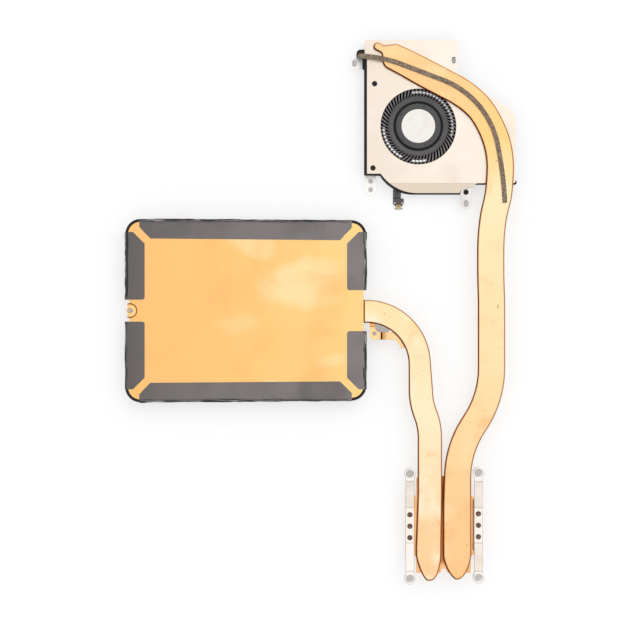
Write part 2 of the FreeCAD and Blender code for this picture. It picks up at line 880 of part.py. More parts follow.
def cover_profile():
    """Side view of the cover's upper face, as (y, z): flat, then sloping down."""
    return [
        (fan_y + case_top, cover_z + case_sheet),
        (fan_y + cover_bend, cover_z + case_sheet),
        (fan_y + cover_bottom, cover_z + case_sheet - cover_slope_drop),
    ]


def cover_slope_at(y):
    """How far the cover has dropped at a place below the axis."""
    share = (cover_bend - y) / (cover_bend - cover_bottom)
    return cover_slope_drop * max(0, share)


def fan_cover():
    sheet = folded_sheet(cover_profile(), case_sheet, fan_x + frame_left, fan_x + case_right)
    low = cover_z - cover_slope_drop
    high = cover_z + case_sheet
    plan = prism(from_axis(cover_corners()), low, high)
    cover = sheet.common(plan)
    cover = cover.cut(disc(fan_x, fan_y, inlet_r, low, high))
    for x, y in ((outer_screw_x, outer_screw_y), (lower_screw_x, lower_screw_y)):
        cover = cover.cut(disc(fan_x + x, fan_y + y, screw_r + hole_gap, low, high))
    x, y = fan_x + chassis_slot_x, fan_y + chassis_slot_y
    return cover.cut(slot(x, y, slot_w, slot_l, low, high))


def frame_outline(low, high):
    """The case's outer outline with the frame's lip."""
    lip = frame_lip
    pad_left = right_ear_x - ear_w / 2 - pad_clear_top
    corners = [
        (case_right + lip, cover_bend - lip, case_corner_r),
        (case_right + lip, shoulder_y, 0),
        (block_right, left_wall_top, 0),
        (frame_left, left_wall_top, frame_corner_r),
        (frame_left, ledge_y - lip, frame_corner_r),
        (ledge_x, ledge_y - lip, 0),
        (curve_corner_x, cover_bottom - lip, bottom_curve_r),
        (pad_left, cover_bottom - lip, 0),
        (pad_left, cover_bend - lip, 0),
    ]
    return prism(from_axis(corners), low, high)


def air_passage(low, high):
    """Round chamber that widens into the open upper and right sides."""
    chamber = disc(fan_x + volute_dx, fan_y + volute_dy, passage_r, low, high)
    far = case_right + 2 * frame_wall
    floor_y = cover_bend - frame_lip + frame_wall
    outlet = prism(from_axis([
        (volute_dx, volute_dy), (volute_dx, passage_low), (impeller_r, floor_y),
        (far, floor_y), (far, case_top), (frame_left + frame_wall, case_top),
        (frame_left + frame_wall, bump_high), (passage_left_x, passage_left_y),
    ]), low, high)
    return chamber.fuse(outlet)


def above_cover(gap):
    """The space over the cover's under side, for trimming what stands below it."""
    under = cover_z - gap
    far_z = cover_z + 2 * case_inner
    low_y = cover_bottom - overreach
    side = [
        (fan_y + case_top + overreach, under),
        (fan_y + cover_bend, under),
        (fan_y + low_y, under - cover_slope_at(low_y)),
    ]
    x0 = fan_x + frame_left - overreach
    points = [Vector(x0, y, z) for y, z in side]
    points += [Vector(x0, side[-1][0], far_z), Vector(x0, side[0][0], far_z), points[0]]
    width = case_right - frame_left + 2 * overreach
    return Part.Face(Part.makePolygon(points)).extrude(Vector(width, 0, 0))


def fan_frame():
    low = case_floor_z
    walls = frame_outline(low, cover_z).cut(air_passage(low, cover_z))
    bump = box(fan_x + frame_left - bump_out, fan_x + frame_left + frame_wall,
               fan_y + bump_low, fan_y + bump_high, low, cover_z)
    boss_r = screw_head_r + frame_lip
    right_boss = disc(fan_x + right_ear_x, fan_y + right_screw_y, boss_r, low, right_ear_z)
    tie = box(fan_x + right_ear_x - ear_w / 2 - frame_lip, fan_x + right_ear_x + boss_r,
              fan_y + cover_bend - frame_lip - bottom_wall, fan_y + cover_bend, low, right_ear_z)
    frame = fused([walls, bump, tie, right_boss]).cut(above_cover(0))
    x0, x1 = frame_left - lug_out, frame_left + upper_block_lip
    y0, y1 = left_wall_top - lug_l, left_wall_top
    lug = prism(from_axis([(x0, y0, 0), (x1, y0, 0), (x1, y1, 0), (x0, y1, lug_corner_r)]),
                lug_z, cover_z + case_sheet)
    frame = fused([frame, lug])
    pilot = screw_r + fit_gap
    for x, y, top in screw_places():
        frame = frame.cut(disc(fan_x + x, fan_y + y, pilot, top - screw_length - hole_gap, top))
    return frame


def screw_places():
    """Each screw's place from the axis and the height that its head rests on."""
    return [
        (outer_screw_x, outer_screw_y, cover_z + case_sheet),
        (lower_screw_x, lower_screw_y, cover_z + case_sheet),
        (right_ear_x, right_screw_y, right_ear_z + ear_sheet),
    ]


def fan_screws():
    """Three pan-head screws with a cross recess."""
    screws = []
    for x, y, top in screw_places():
        sx, sy = fan_x + x, fan_y + y
        head = disc(sx, sy, screw_head_r, top, top + screw_head_t)
        shank = disc(sx, sy, screw_r, top - screw_length, top)
        z0, z1 = top + screw_head_t - cross_t, top + screw_head_t
        cross = fused([
            box(sx - cross_l / 2, sx + cross_l / 2, sy - cross_w / 2, sy + cross_w / 2, z0, z1),
            box(sx - cross_w / 2, sx + cross_w / 2, sy - cross_l / 2, sy + cross_l / 2, z0, z1),
        ])
        screws.append(fused([head, shank]).cut(cross))
    return Part.makeCompound(screws)


def ear_shape(x0, x1, y0, y1, round_low_y, low, high):
    """A tab with a round end, towards -Y or towards -X."""
    r = ear_w / 2 * round_share
    if round_low_y:
        corners = [(x0, y0, r), (x1, y0, r), (x1, y1, 0), (x0, y1, 0)]
    else:
        corners = [(x0, y0, r), (x1, y0, 0), (x1, y1, 0), (x0, y1, r)]
    return prism(from_axis(corners), low, high)


def fan_base_plate():
    """The case's floor, with two ears, air vents and the chassis slot."""
    low, high = case_low_z, case_floor_z
    half = ear_w / 2
    floor_sheet = prism(from_axis([
        (case_right, cover_bend - frame_lip, case_corner_r),
        (case_right, shoulder_y, shoulder_corner_r),
        (block_right, step_y, 0),
        (block_right, case_top, frame_corner_r),
        (frame_left + upper_block_lip, case_top, block_corner_r),
        (frame_left + upper_block_lip, ledge_y, frame_corner_r),
        (ledge_x, ledge_y, 0),
        (curve_corner_x, cover_bottom, bottom_curve_r),
        (right_ear_x + half, cover_bottom, 0),
        (right_ear_x + half, cover_bend - frame_lip, 0),
    ]), low, high)
    left_ear = ear_shape(left_ear_x - half, frame_left + frame_wall,
                         left_ear_y - half, left_ear_y + half, False, low, high)
    lower_ear = ear_shape(lower_ear_x - half, lower_ear_x + half,
                          lower_ear_second_y - half, ledge_y + half, True, low, high)
    plate = fused([floor_sheet, left_ear, lower_ear])
    for from_deg, to_deg in vent_spans:
        plate = plate.cut(wedge(fan_x, fan_y, vent_inner_r, vent_outer_r, from_deg, to_deg, low, high))
    holes = [
        (chassis_slot_x, chassis_slot_y, slot_l), (left_ear_x, left_ear_y, slot_l),
        (lower_ear_x, lower_ear_first_y, lower_hole_l), (lower_ear_x, lower_ear_second_y, lower_hole_l),
    ]
    for x, y, length in holes:
        plate = plate.cut(slot(fan_x + x, fan_y + y, slot_w, length, low, high))
    return plate


def mounting_ear():
    """A loose sheet ear, screwed to the frame's boss under the cover's edge."""
    low, high = right_ear_z, right_ear_z + ear_sheet
    half = ear_w / 2
    ear = ear_shape(right_ear_x - half, right_ear_x + half,
                    right_ear_slot_y - half, right_ear_top_y, True, low, high)
    ear = ear.cut(slot(fan_x + right_ear_x, fan_y + right_ear_slot_y, slot_w, slot_l, low, high))
    hole = disc(fan_x + right_ear_x, fan_y + right_screw_y, screw_r + hole_gap, low, high)
    return ear.cut(hole)


def fin_row(count, depth):
    """Upright fins along +X with a skin above and below, its outer side on the X axis."""
    length = (count - 1) * fin_pitch + fin_sheet
    skins = [
        box(0, length, -depth, 0, case_floor_z, case_floor_z + fin_skin),
        box(0, length, -depth, 0, cover_z - fin_skin, cover_z),
    ]
    fins = [
        box(i * fin_pitch, i * fin_pitch + fin_sheet, -depth, 0,
            case_floor_z + fin_skin, cover_z - fin_skin)
        for i in range(count)
    ]
    return fused(skins + fins), length


def fin_stacks():
    """Three rows of fins along the open edges, each a little inside the case's edge."""
    top, top_length = fin_row(top_fin_count, fin_depth)
    top_x = (frame_left + frame_wall + block_right - top_length) / 2
    top.translate(Vector(fan_x + top_x, fan_y + case_top - fin_inset, 0))
    drop = math.atan2(step_y - shoulder_y, case_right - block_right)
    diagonal, diagonal_length = fin_row(diagonal_fin_count, diagonal_fin_depth)
    edge = math.hypot(step_y - shoulder_y, case_right - block_right)
    diagonal.translate(Vector((edge - diagonal_length) / 2, -fin_inset, 0))
    diagonal.rotate(Vector(0, 0, 0), Vector(0, 0, 1), -math.degrees(drop))
    diagonal.translate(Vector(fan_x + block_right, fan_y + step_y, 0))
    side, side_length = fin_row(side_fin_count, fin_depth)
    side.rotate(Vector(0, 0, 0), Vector(0, 0, 1), -90)
    side_top = cover_bend + frame_wall + side_length
    side.translate(Vector(fan_x + case_right - fin_inset, fan_y + side_top, 0))
    return {"fin_stack_top": top, "fin_stack_diagonal": diagonal, "fin_stack_side": side}


def revolved(profile):
    """A body turned about the blower's axis from (radius, height) points."""
    points = [Vector(fan_x + r, fan_y, z) for r, z in profile]
    face = Part.Face(Part.makePolygon(points + points[:1]))
    return face.revolve(Vector(fan_x, fan_y, 0), Vector(0, 0, 1), 360)


def blade():
    """One thin blade, curved back, from inside the flange wall to inside the outer ring."""
    radii = (flange_r - flange_wall / 2, (flange_r + impeller_r) / 2, impeller_r - ring_w / 2)

    def spot(radius, side):
        angle = -math.radians(blade_lean * (radius - flange_r)) + side * blade_thick / 2 / radius
        return Vector(fan_x + radius * math.cos(angle), fan_y + radius * math.sin(angle), 0)

    front = [spot(r, 1) for r in radii]
    back = [spot(r, -1) for r in radii]
    edges = [
        Part.Arc(*front).toShape(), Part.Arc(*back).toShape(),
        Part.LineSegment(front[0], back[0]).toShape(),
        Part.LineSegment(front[-1], back[-1]).toShape(),
    ]
    return prism_of(edges, blade_low_z, blade_top_z)


def impeller():
    """Hub cap, groove, flange, back disc, blades and outer ring, moulded in one piece."""
    groove_top = hub_top_z - groove_depth
    groove_r = hub_r + groove_w
    inner = hub_r - hub_wall
    under = hub_top_z - hub_skin
    hub = revolved([
        (0, hub_top_z), (hub_r, hub_top_z), (hub_r, groove_top), (groove_r, groove_top),
        (groove_r, flange_z), (flange_r, flange_z), (flange_r, blade_low_z),
        (flange_r - flange_wall, blade_low_z), (flange_r - flange_wall, flange_z - flange_wall),
        (groove_r + flange_wall, flange_z - flange_wall),
        (groove_r + flange_wall, groove_top - groove_floor),
        (hub_r, groove_top - groove_floor), (hub_r, yoke_bottom_z), (inner, yoke_bottom_z),
        (inner, under), (0, under),
    ])
    for i in range(hub_notch_count):
        angle = math.radians(hub_notch_first + i * 360 / hub_notch_count)
        x = fan_x + hub_notch_at * math.cos(angle)
        y = fan_y + hub_notch_at * math.sin(angle)
        hub = hub.cut(disc(x, y, hub_notch_r, under, hub_top_z))
    back = ring(fan_x, fan_y, flange_r - flange_wall, back_disc_r,
                blade_low_z, blade_low_z + back_disc_t)
    rim = ring(fan_x, fan_y, impeller_r - ring_w, impeller_r, blade_low_z, blade_low_z + ring_t)
    first = blade()
    blades = [about_axis(first, i * 360 / blade_count) for i in range(blade_count)]
    return hub.multiFuse([back, rim] + blades)


def motor():
    """The pieces inside the hub, from the shaft outwards."""
    pieces = {}
    shaft_low = case_floor_z + thrust_t + thrust_gap
    pieces["rotor_shaft"] = disc(fan_x, fan_y, shaft_r, shaft_low, yoke_top_z)
    pieces["rotor_yoke"] = revolved([
        (shaft_r + fit_gap, yoke_top_z), (yoke_r, yoke_top_z), (yoke_r, yoke_bottom_z),
        (yoke_r - yoke_sheet, yoke_bottom_z), (yoke_r - yoke_sheet, yoke_under_z),
        (shaft_r + fit_gap, yoke_under_z),
    ])
    magnet_top = yoke_under_z - magnet_top_gap
    pieces["rotor_magnet"] = ring(fan_x, fan_y, magnet_r - magnet_w, magnet_r,
                                  magnet_top - magnet_h, magnet_top)
    tube = ring(fan_x, fan_y, housing_r - housing_wall, housing_r, case_floor_z, housing_top_z)
    flange = ring(fan_x, fan_y, housing_r - housing_wall, housing_flange_r,
                  case_floor_z, case_floor_z + housing_flange_t)
    pieces["bearing_housing"] = fused([tube, flange])
    pieces["sleeve_bearing"] = ring(fan_x, fan_y, shaft_r + shaft_gap, sleeve_r,
                                    case_floor_z + thrust_t + thrust_gap, housing_top_z - sleeve_recess)
    pieces["thrust_pad"] = disc(fan_x, fan_y, sleeve_r, case_floor_z, case_floor_z + thrust_t)
    pieces["motor_circuit"] = ring(fan_x, fan_y, housing_flange_r + hole_gap, circuit_r,
                                   case_floor_z, case_floor_z + circuit_t)
    pieces["stator_core"] = stator_core()
    pieces["stator_windings"] = stator_windings()
    return pieces


def pole_bar(width, low, high, inner, outer):
    """A radial bar along +X from the blower's axis."""
    return box(fan_x + inner, fan_x + outer, fan_y - width / 2, fan_y + width / 2, low, high)


def about_axis(shape, degrees):
    copy = shape.copy()
    copy.rotate(Vector(fan_x, fan_y, 0), Vector(0, 0, 1), degrees)
    return copy


def stator_core():
    low, high = core_low_z, core_low_z + core_t
    hub = ring(fan_x, fan_y, housing_r + fit_gap, housing_r + fit_gap + core_ring_w, low, high)
    step = 360 / pole_count
    half = (step - pole_shoe_gap) / 2
    bar = pole_bar(pole_w, low, high, housing_r + core_ring_w / 2, core_r - pole_shoe_w / 2)
    shoe = wedge(fan_x, fan_y, core_r - pole_shoe_w, core_r, -half, half, low, high)
    pieces = [hub]
    for i in range(pole_count):
        pieces += [about_axis(bar, i * step), about_axis(shoe, i * step)]
    return fused(pieces)


def stator_windings():
    """One coil round each pole."""
    low, high = core_low_z, core_low_z + core_t
    inner = housing_r + fit_gap + core_ring_w + coil_end_gap
    outer = core_r - pole_shoe_w - coil_end_gap
    coil = pole_bar(pole_w + 2 * coil_wall, low - coil_wall, high + coil_wall, inner, outer)
    rounds = [e for e in coil.Edges if abs(e.BoundBox.XLength - (outer - inner)) < 1e-6]
    coil = coil.makeFillet(coil_round, rounds)
    coil = coil.cut(pole_bar(pole_w, low, high, inner, outer))
    return Part.makeCompound([about_axis(coil, i * 360 / pole_count) for i in range(pole_count)])


def flex_run(margin, low, high):
    """The flex from the motor's board out past the frame, with a margin at its sides."""
    angle = math.radians(flex_angle)
    start_x = circuit_r * math.cos(angle)
    start_y = circuit_r * math.sin(angle)
    route_x = flex_x - start_x
    route_y = cover_bottom - start_y
    route = Route(fan_x + start_x, fan_y + start_y, math.degrees(math.atan2(route_y, route_x)))
    route.ahead(math.hypot(route_x, route_y))
    half = flex_w / 2 + margin
    run = route.band(flex_inner_w + 2 * margin, low, high)
    tail = box(fan_x + flex_x - half, fan_x + flex_x + half,
               fan_y + flex_end_y, fan_y + cover_bottom + half, low, high)
    return run.fuse(tail)


def flex_cable():
    """A flex circuit from the motor's board, through the frame's lower wall, to its plug end."""
    low, high = case_floor_z, case_floor_z + flex_t
    x = fan_x + flex_x + head_shift
    tongue = box(x - tail_w / 2, x + tail_w / 2, fan_y + tail_end_y, fan_y + flex_end_y, low, high)
    wings = box(x - wing_w / 2, x + wing_w / 2,
                fan_y + tail_end_y, fan_y + tail_end_y + wing_h, low, high)
    keep_out = disc(fan_x, fan_y, circuit_r + hole_gap, low, high)
    return fused([flex_run(0, low, high), tongue, wings]).cut(keep_out)


def flex_tunnel():
    """The notch in the frame's lower wall that the flex runs through."""
    return flex_run(hole_gap, case_floor_z, case_floor_z + flex_t + hole_gap)


def cable_stiffener():
    """A stiff board on the flex's end, with two holes, tapering to the contacts."""
    low, high = case_floor_z + flex_t, case_floor_z + flex_t + head_t
    half = head_w / 2
    neck = tail_w / 2 + head_neck
    y0, y1 = fan_y + head_bottom_y, fan_y + head_top_y
    x = fan_x + flex_x + head_shift
    taper = y0 + neck
    board = prism([
        (x - neck, y0, 0), (x + neck, y0, 0), (x + half, taper, head_taper_r),
        (x + half, y1, head_corner_r), (x - half, y1, head_corner_r),
        (x - half, taper, head_taper_r),
    ], low, high)
    for side in (-1, 1):
        board = board.cut(disc(x + side * head_dot_dx, taper + head_dot_dy, head_dot_r, low, high))
    return board


def cable_contacts():
    """Gold contact strips on the flex's tongue."""
    low = case_floor_z + flex_t
    y0 = fan_y + tail_end_y + contact_margin
    y1 = fan_y + head_bottom_y - contact_margin
    left = fan_x + flex_x + head_shift - ((contact_count - 1) * contact_pitch + contact_pad_w) / 2
    starts = [left + i * contact_pitch for i in range(contact_count)]
    return Part.makeCompound([box(x, x + contact_pad_w, y0, y1, low, low + contact_t) for x in starts])


def strip_route():
    route = Route(fan_x + strip_start_dx, fan_y + strip_start_dy, strip_heading)
    route.ahead(strip_lead)
    route.turn(strip_first_r, -strip_first_deg)
    route.ahead(strip_middle)
    route.turn(strip_second_r, -strip_second_deg)
    route.turn(strip_last_r, -strip_last_deg)
    return route


def seal_strip():
    """A felt strip over the cover and the pipe, with its left end cut at a slant."""
    top = pipe_top_z + strip_rise
    route = strip_route()
    left = route.side(strip_w / 2)
    right = route.side(-strip_w / 2)
    slanted = right[0].Vertexes[0].Point
    corner = left[0].Vertexes[0].Point + Vector(strip_slant, 0, 0)
    left[0] = Part.LineSegment(corner, left[0].Vertexes[-1].Point).toShape()
    caps = joined(corner, slanted)
    caps += joined(left[-1].Vertexes[-1].Point, right[-1].Vertexes[-1].Point)
    strip = prism_of(left + right + caps, pipe_z, top)
    pipe = fan_pipe_route()
    wide = fan_pipe_w + 2 * strip_pipe_gap
    space = pipe.band(wide, pipe_z, pipe_top_z)
    return strip.cut(space).cut(crimp_space())


def crimp_space():
    """The room that the pipe's crimped end takes under the strip."""
    route = fan_pipe_route()
    half = fan_pipe_w / 2
    end = joined(route.pieces[0][1] + route.pieces[0][3] * half,
                 route.pieces[0][1] - route.pieces[0][3] * half)
    return prism_of(crimped_end(route) + end, pipe_z, pipe_top_z)


def build_all():
    """Every piece of the cooler, by its node's name."""
    nodes = {
        "cold_plate": cold_plate(),
        "spring_bracket_left": spring_bracket(-1),
        "spring_bracket_right": spring_bracket(1),
        "bracket_rivets": bracket_rivets(),
        "heat_pipe_fan": heat_pipe_fan(),
        "heat_pipe_spreader": heat_pipe_spreader(),
        "spreader_plate": spreader_plate(),
        "gasket_upper": gasket(1),
        "gasket_lower": gasket(-1),
        "pipe_bracket": pipe_bracket(),
        "fan_cover": fan_cover(),
        "fan_frame": fan_frame().cut(flex_tunnel()),
        "fan_base_plate": fan_base_plate(),
        "mounting_ear": mounting_ear(),
        "fan_screws": fan_screws(),
        "impeller": impeller(),
        "hub_label": disc(fan_x, fan_y, label_r, hub_top_z, hub_top_z + label_t),
        "flex_cable": flex_cable(),
        "cable_stiffener": cable_stiffener(),
        "cable_contacts": cable_contacts(),
        "seal_strip": seal_strip(),
    }
    nodes.update(tapes())
    nodes.update(fin_stacks())
    nodes.update(motor())
    return nodes


os.makedirs("parts", exist_ok=True)
for node_name, node_shape in build_all().items():
    save(node_name, node_shape)
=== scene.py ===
import bpy
import json
import math
from mathutils import Matrix, Vector

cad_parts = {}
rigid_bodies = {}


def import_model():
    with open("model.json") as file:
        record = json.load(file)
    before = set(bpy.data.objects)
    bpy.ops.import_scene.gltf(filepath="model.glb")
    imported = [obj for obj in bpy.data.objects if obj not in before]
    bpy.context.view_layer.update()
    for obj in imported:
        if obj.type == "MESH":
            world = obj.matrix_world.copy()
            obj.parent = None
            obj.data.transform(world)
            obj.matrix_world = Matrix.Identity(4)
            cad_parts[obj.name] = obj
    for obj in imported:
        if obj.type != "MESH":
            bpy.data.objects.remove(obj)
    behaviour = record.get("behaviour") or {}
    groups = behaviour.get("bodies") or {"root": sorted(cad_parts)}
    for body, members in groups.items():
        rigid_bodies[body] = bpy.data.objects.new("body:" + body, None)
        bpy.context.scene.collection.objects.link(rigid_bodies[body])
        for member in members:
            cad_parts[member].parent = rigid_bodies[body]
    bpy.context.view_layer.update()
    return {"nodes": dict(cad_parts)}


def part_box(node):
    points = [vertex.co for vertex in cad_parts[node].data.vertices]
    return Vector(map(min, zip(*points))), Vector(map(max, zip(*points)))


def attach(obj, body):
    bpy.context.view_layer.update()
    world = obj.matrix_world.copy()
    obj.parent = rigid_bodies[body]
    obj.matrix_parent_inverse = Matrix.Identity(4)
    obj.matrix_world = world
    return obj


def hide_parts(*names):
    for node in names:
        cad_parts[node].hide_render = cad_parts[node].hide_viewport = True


# A laptop cooler, dressed piece by piece in the order in which it is put together.
# Blender's own cube, lamp and camera go first, so that the frame stands alone.
for thing in list(bpy.data.objects):
    bpy.data.objects.remove(thing)
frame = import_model()

# --------------------
# Cold plate. A copper slab that draws the heat from the processor, stamped with two side ears
# and soldered under both heat pipes. Between and beside the pipes it is painted brown, partly as
# tarnish and partly as painted shade in the narrow gaps.
mm = 0.001


def deselect():
    bpy.ops.object.select_all(action="DESELECT")


def work_on(piece):
    deselect()
    piece.select_set(True)
    bpy.context.view_layer.objects.active = piece


def apply_modifier(piece, kind, **settings):
    """Adds a modifier with these settings and makes it part of the mesh."""
    modifier = piece.modifiers.new(kind.lower(), kind)
    for setting, value in settings.items():
        setattr(modifier, setting, value)
    work_on(piece)
    bpy.ops.object.modifier_apply(modifier=modifier.name)


sharp_angle = 35


def bevel(piece, width, segments, angle, **settings):
    apply_modifier(piece, "BEVEL", width=width * mm, segments=segments, limit_method="ANGLE",
                   angle_limit=math.radians(angle), use_clamp_overlap=False, **settings)


def soften(piece, edge, segments=2, curve=None):
    """Shades the faces smoothly, and breaks the sharp edges by this many millimetres."""
    work_on(piece)
    curve = curve or (sharp_angle if edge else 50)
    bpy.ops.object.shade_smooth_by_angle(angle=math.radians(curve), keep_sharp_edges=False)
    if edge:
        bevel(piece, edge, segments, sharp_angle, harden_normals=True)
    else:
        apply_modifier(piece, "WEIGHTED_NORMAL", weight=80, keep_sharp=True)


def edit(piece, selected=True):
    """Opens a mesh for editing, with all of it selected or nothing."""
    work_on(piece)
    bpy.ops.object.mode_set(mode="EDIT")
    bpy.ops.mesh.select_all(action="SELECT" if selected else "DESELECT")


def end_edit():
    bpy.ops.object.mode_set(mode="OBJECT")


def pressed_from(node, name, edge, segments=2, flat_faces=True, curve=None):
    """A new piece from a copy of a CAD node: its triangles merged and its edges softened."""
    piece = bpy.data.objects.new(name, frame["nodes"][node].data.copy())
    bpy.context.scene.collection.objects.link(piece)
    piece.data.materials.clear()
    work_on(piece)
    bpy.ops.mesh.customdata_custom_splitnormals_clear()
    edit(piece)
    bpy.ops.mesh.remove_doubles(threshold=0.002 * mm)
    if flat_faces:
        bpy.ops.mesh.dissolve_limited(angle_limit=math.radians(0.3))
    end_edit()
    if edge is not None:
        soften(piece, edge, segments, curve)
    return piece


def fit(piece, slot, finish, *nodes, body="cooler"):
    """Gives a piece its finish, hangs it on its body and hides the nodes that it stands for."""
    piece.data.materials.clear()
    piece.data.materials.append(finish)
    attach(piece, body)
    if nodes:
        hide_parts(*nodes)


def dress(node, finish):
    """Gives a CAD node that stays its finish."""
    materials = frame["nodes"][node].data.materials
    materials.clear()
    materials.append(finish)


def shade(colour):
    """A colour as a picture shows it, (red, green, blue) from 0 to 255, as nodes take it.
    Anything else, such as another node's output, passes as it is."""
    if not isinstance(colour, tuple) or len(colour) != 3:
        return colour
    parts = [part / 255 for part in colour]
    return [p / 12.92 if p <= 0.04045 else ((p + 0.055) / 1.055) ** 2.4 for p in parts] + [1.0]


at_work = {}


def feed(value, socket):
    """Links another node's output to a socket, or sets the socket to a value."""
    if isinstance(value, bpy.types.NodeSocket):
        at_work["tree"].links.new(value, socket)
    else:
        socket.default_value = value


def lay(kind, sockets=None, **settings):
    """Adds one shader node to the tree at work. Sockets take values or other nodes' outputs."""
    made = at_work["tree"].nodes.new("ShaderNode" + kind)
    for setting, value in settings.items():
        setattr(made, setting, value)
    for socket, value in (sockets or {}).items():
        feed(value, made.inputs[socket])
    return made


def place_in():
    return lay("TexCoord").outputs["Object"]


def axes_of(value):
    return lay("SeparateXYZ", {0: value}).outputs


def calc(operation, first, second=0.0, third=0.0):
    sockets = {0: first, 1: second}
    if operation == "MULTIPLY_ADD":
        sockets[2] = third
    return lay("Math", sockets, operation=operation).outputs[0]


def times(product, *factors):
    for factor in factors:
        product = calc("MULTIPLY", product, factor)
    return product


def vector(operation, first, second=None):
    """Vector maths. A length is a value, and the rest are vectors."""
    sockets = {0: first}
    if second is not None:
        sockets["Scale" if operation == "SCALE" else 1] = second
    outputs = lay("VectorMath", sockets, operation=operation).outputs
    return outputs["Value" if operation == "LENGTH" else "Vector"]


def noise(place, scale, detail=2.0, **more):
    """Cloudy noise: its first output is a value, its second a colour."""
    sockets = {"Vector": place, "Scale": scale, "Detail": detail, **more}
    return lay("TexNoise", sockets).outputs


def fade(value, start, end, low=0.0, high=1.0):
    """Goes softly from low to high as the value goes from start to end."""
    sockets = {"Value": value, "From Min": start, "From Max": end, "To Min": low, "To Max": high}
    return lay("MapRange", sockets, interpolation_type="SMOOTHSTEP").outputs[0]


def tint(share, under, over):
    """One colour over another, by a share from 0 to 1."""
    sockets = {0: share, 6: shade(under), 7: shade(over)}
    return lay("Mix", sockets, data_type="RGBA", blend_type="MIX").outputs[2]


def new_group(name, takes, gives=("Colour", "Mask")):
    """A shader group: takes holds its inputs by name with the values that they start from."""
    group = at_work["tree"] = bpy.data.node_groups.new(name, "ShaderNodeTree")
    for label, value in takes.items():
        kind = "Float" if isinstance(value, float) else {3: "Vector", 4: "Color"}[len(value)]
        socket = group.interface.new_socket(label, in_out="INPUT", socket_type="NodeSocket" + kind)
        socket.default_value = value
    for label in gives:
        kind = "Color" if label == "Colour" else "Float"
        group.interface.new_socket(label, in_out="OUTPUT", socket_type="NodeSocket" + kind)
    return group, group.nodes.new("NodeGroupInput").outputs, group.nodes.new("NodeGroupOutput")


def end_group(takes, gives, mask, second):
    """Gives a group's mask, and its second colour laid over the first by that mask."""
    feed(mask, gives.inputs["Mask"])
    feed(tint(mask, takes["Colour"], takes[second]), gives.inputs["Colour"])


def use(group, **sockets):
    """Places a shader group."""
    made = at_work["tree"].nodes.new("ShaderNodeGroup")
    made.node_tree = group
    for label, value in sockets.items():
        socket = made.inputs[label]
        feed(shade(value) if socket.type == "RGBA" else value, socket)
    return made.outputs


def new_finish(name, metallic, roughness):
    """A new material, which is then at work."""
    finish = bpy.data.materials.new(name)
    finish.use_nodes = True
    at_work["tree"] = finish.node_tree
    skin("Metallic").default_value = metallic
    skin("Roughness").default_value = roughness
    return finish


def skin(label):
    """A socket of the surface at work."""
    return at_work["tree"].nodes["Principled BSDF"].inputs[label]


white = (1.0, 1.0, 1.0, 1.0)
black = (0.0, 0.0, 0.0, 1.0)

# Soft clouds of a second colour, as on metal that has been heated and handled
clouds, takes, gives = new_group("soft_clouds", {
    "Colour": white, "Cloud": black, "Size": 20.0, "Cover": 0.5, "Softness": 0.2, "Shift": 0.0})
haze = lay("TexNoise", {
    "Vector": place_in(), "W": takes["Shift"], "Detail": 3.0, "Distortion": 0.6,
    "Scale": calc("DIVIDE", 1000.0, takes["Size"])}, noise_dimensions="4D").outputs[0]
threshold = fade(takes["Cover"], 0.0, 1.0, 0.72, 0.28)
cloud_mask = fade(haze, calc("SUBTRACT", threshold, takes["Softness"]),
                  calc("ADD", threshold, takes["Softness"]))
end_group(takes, gives, cloud_mask, "Cloud")

# A second colour on the sides and rolled edges, partly tarnish and partly painted shade: heavier
# on the sides that face left and down, away from the light, and lighter on those that face the top
edges, takes, gives = new_group("side_tarnish_and_shade", {
    "Colour": white, "Tarnish": black, "Reach": 0.8, "Width": 0.3, "Amount": 1.0, "Lean": 0.0})
facing = axes_of(lay("TexCoord").outputs["Normal"])
away_from_light = calc("MULTIPLY_ADD", facing["X"], -0.8, times(facing["Y"], -0.6))
away_from_light = times(calc("MAXIMUM", away_from_light, 0.0), takes["Lean"])
upright = calc("SUBTRACT", calc("ABSOLUTE", facing["Z"]), away_from_light)
full_at = calc("SUBTRACT", takes["Reach"], takes["Width"])
tarnish_and_shade_mask = times(takes["Amount"], fade(upright, takes["Reach"], full_at),
                  fade(facing["Y"], 0.2, 1.0, 1.0, 0.55))
end_group(takes, gives, tarnish_and_shade_mask, "Tarnish")

# A soft-edged patch between two places, in millimetres
far = 500.0
patch, takes, gives = new_group("patch", {
    "Colour": white, "Patch": black, "Amount": 1.0, "Left": -far, "Right": far, "Low": -far,
    "High": far, "Soft": 0.2, "Wander": 0.0})
place = place_in()
wobble = vector("SUBTRACT", noise(place, 180.0)[1], (0.5, 0.5, 0.5))
spot = axes_of(vector("ADD", vector("SCALE", place, 1000.0),
                      vector("SCALE", wobble, takes["Wander"])))
inside = takes["Amount"]
for axis, near, beyond in (("X", "Left", "Right"), ("Y", "Low", "High")):
    for limit, sign in ((near, 1.0), (beyond, -1.0)):
        depth = times(calc("SUBTRACT", spot[axis], takes[limit]), sign)
        share = fade(depth, times(takes["Soft"], -1.0), takes["Soft"])
        inside = times(inside, share)
end_group(takes, gives, inside, "Patch")

# Fine grain: drawn lines when it is stretched, moulded or sanded dots when it isn't
evenly = (1.0, 1.0, 1.0)
grain, takes, gives = new_group(
    "grain", {"Size": 0.3, "Stretch": evenly, "Low": 0.3, "High": 0.4}, ("Height", "Roughness"))
stretched = vector("MULTIPLY", place_in(), takes["Stretch"])
fine = noise(stretched, calc("DIVIDE", 1000.0, takes["Size"]), 4.0, Roughness=0.6)[0]
feed(fine, gives.inputs["Height"])
feed(fade(fine, 0.3, 0.7, takes["Low"], takes["High"]), gives.inputs["Roughness"])


def clouded(colour, cloud, size, cover=0.5, softness=0.2, shift=0.0):
    return use(clouds, Colour=colour, Cloud=cloud, Size=size, Cover=cover,
               Softness=softness, Shift=shift)["Colour"]
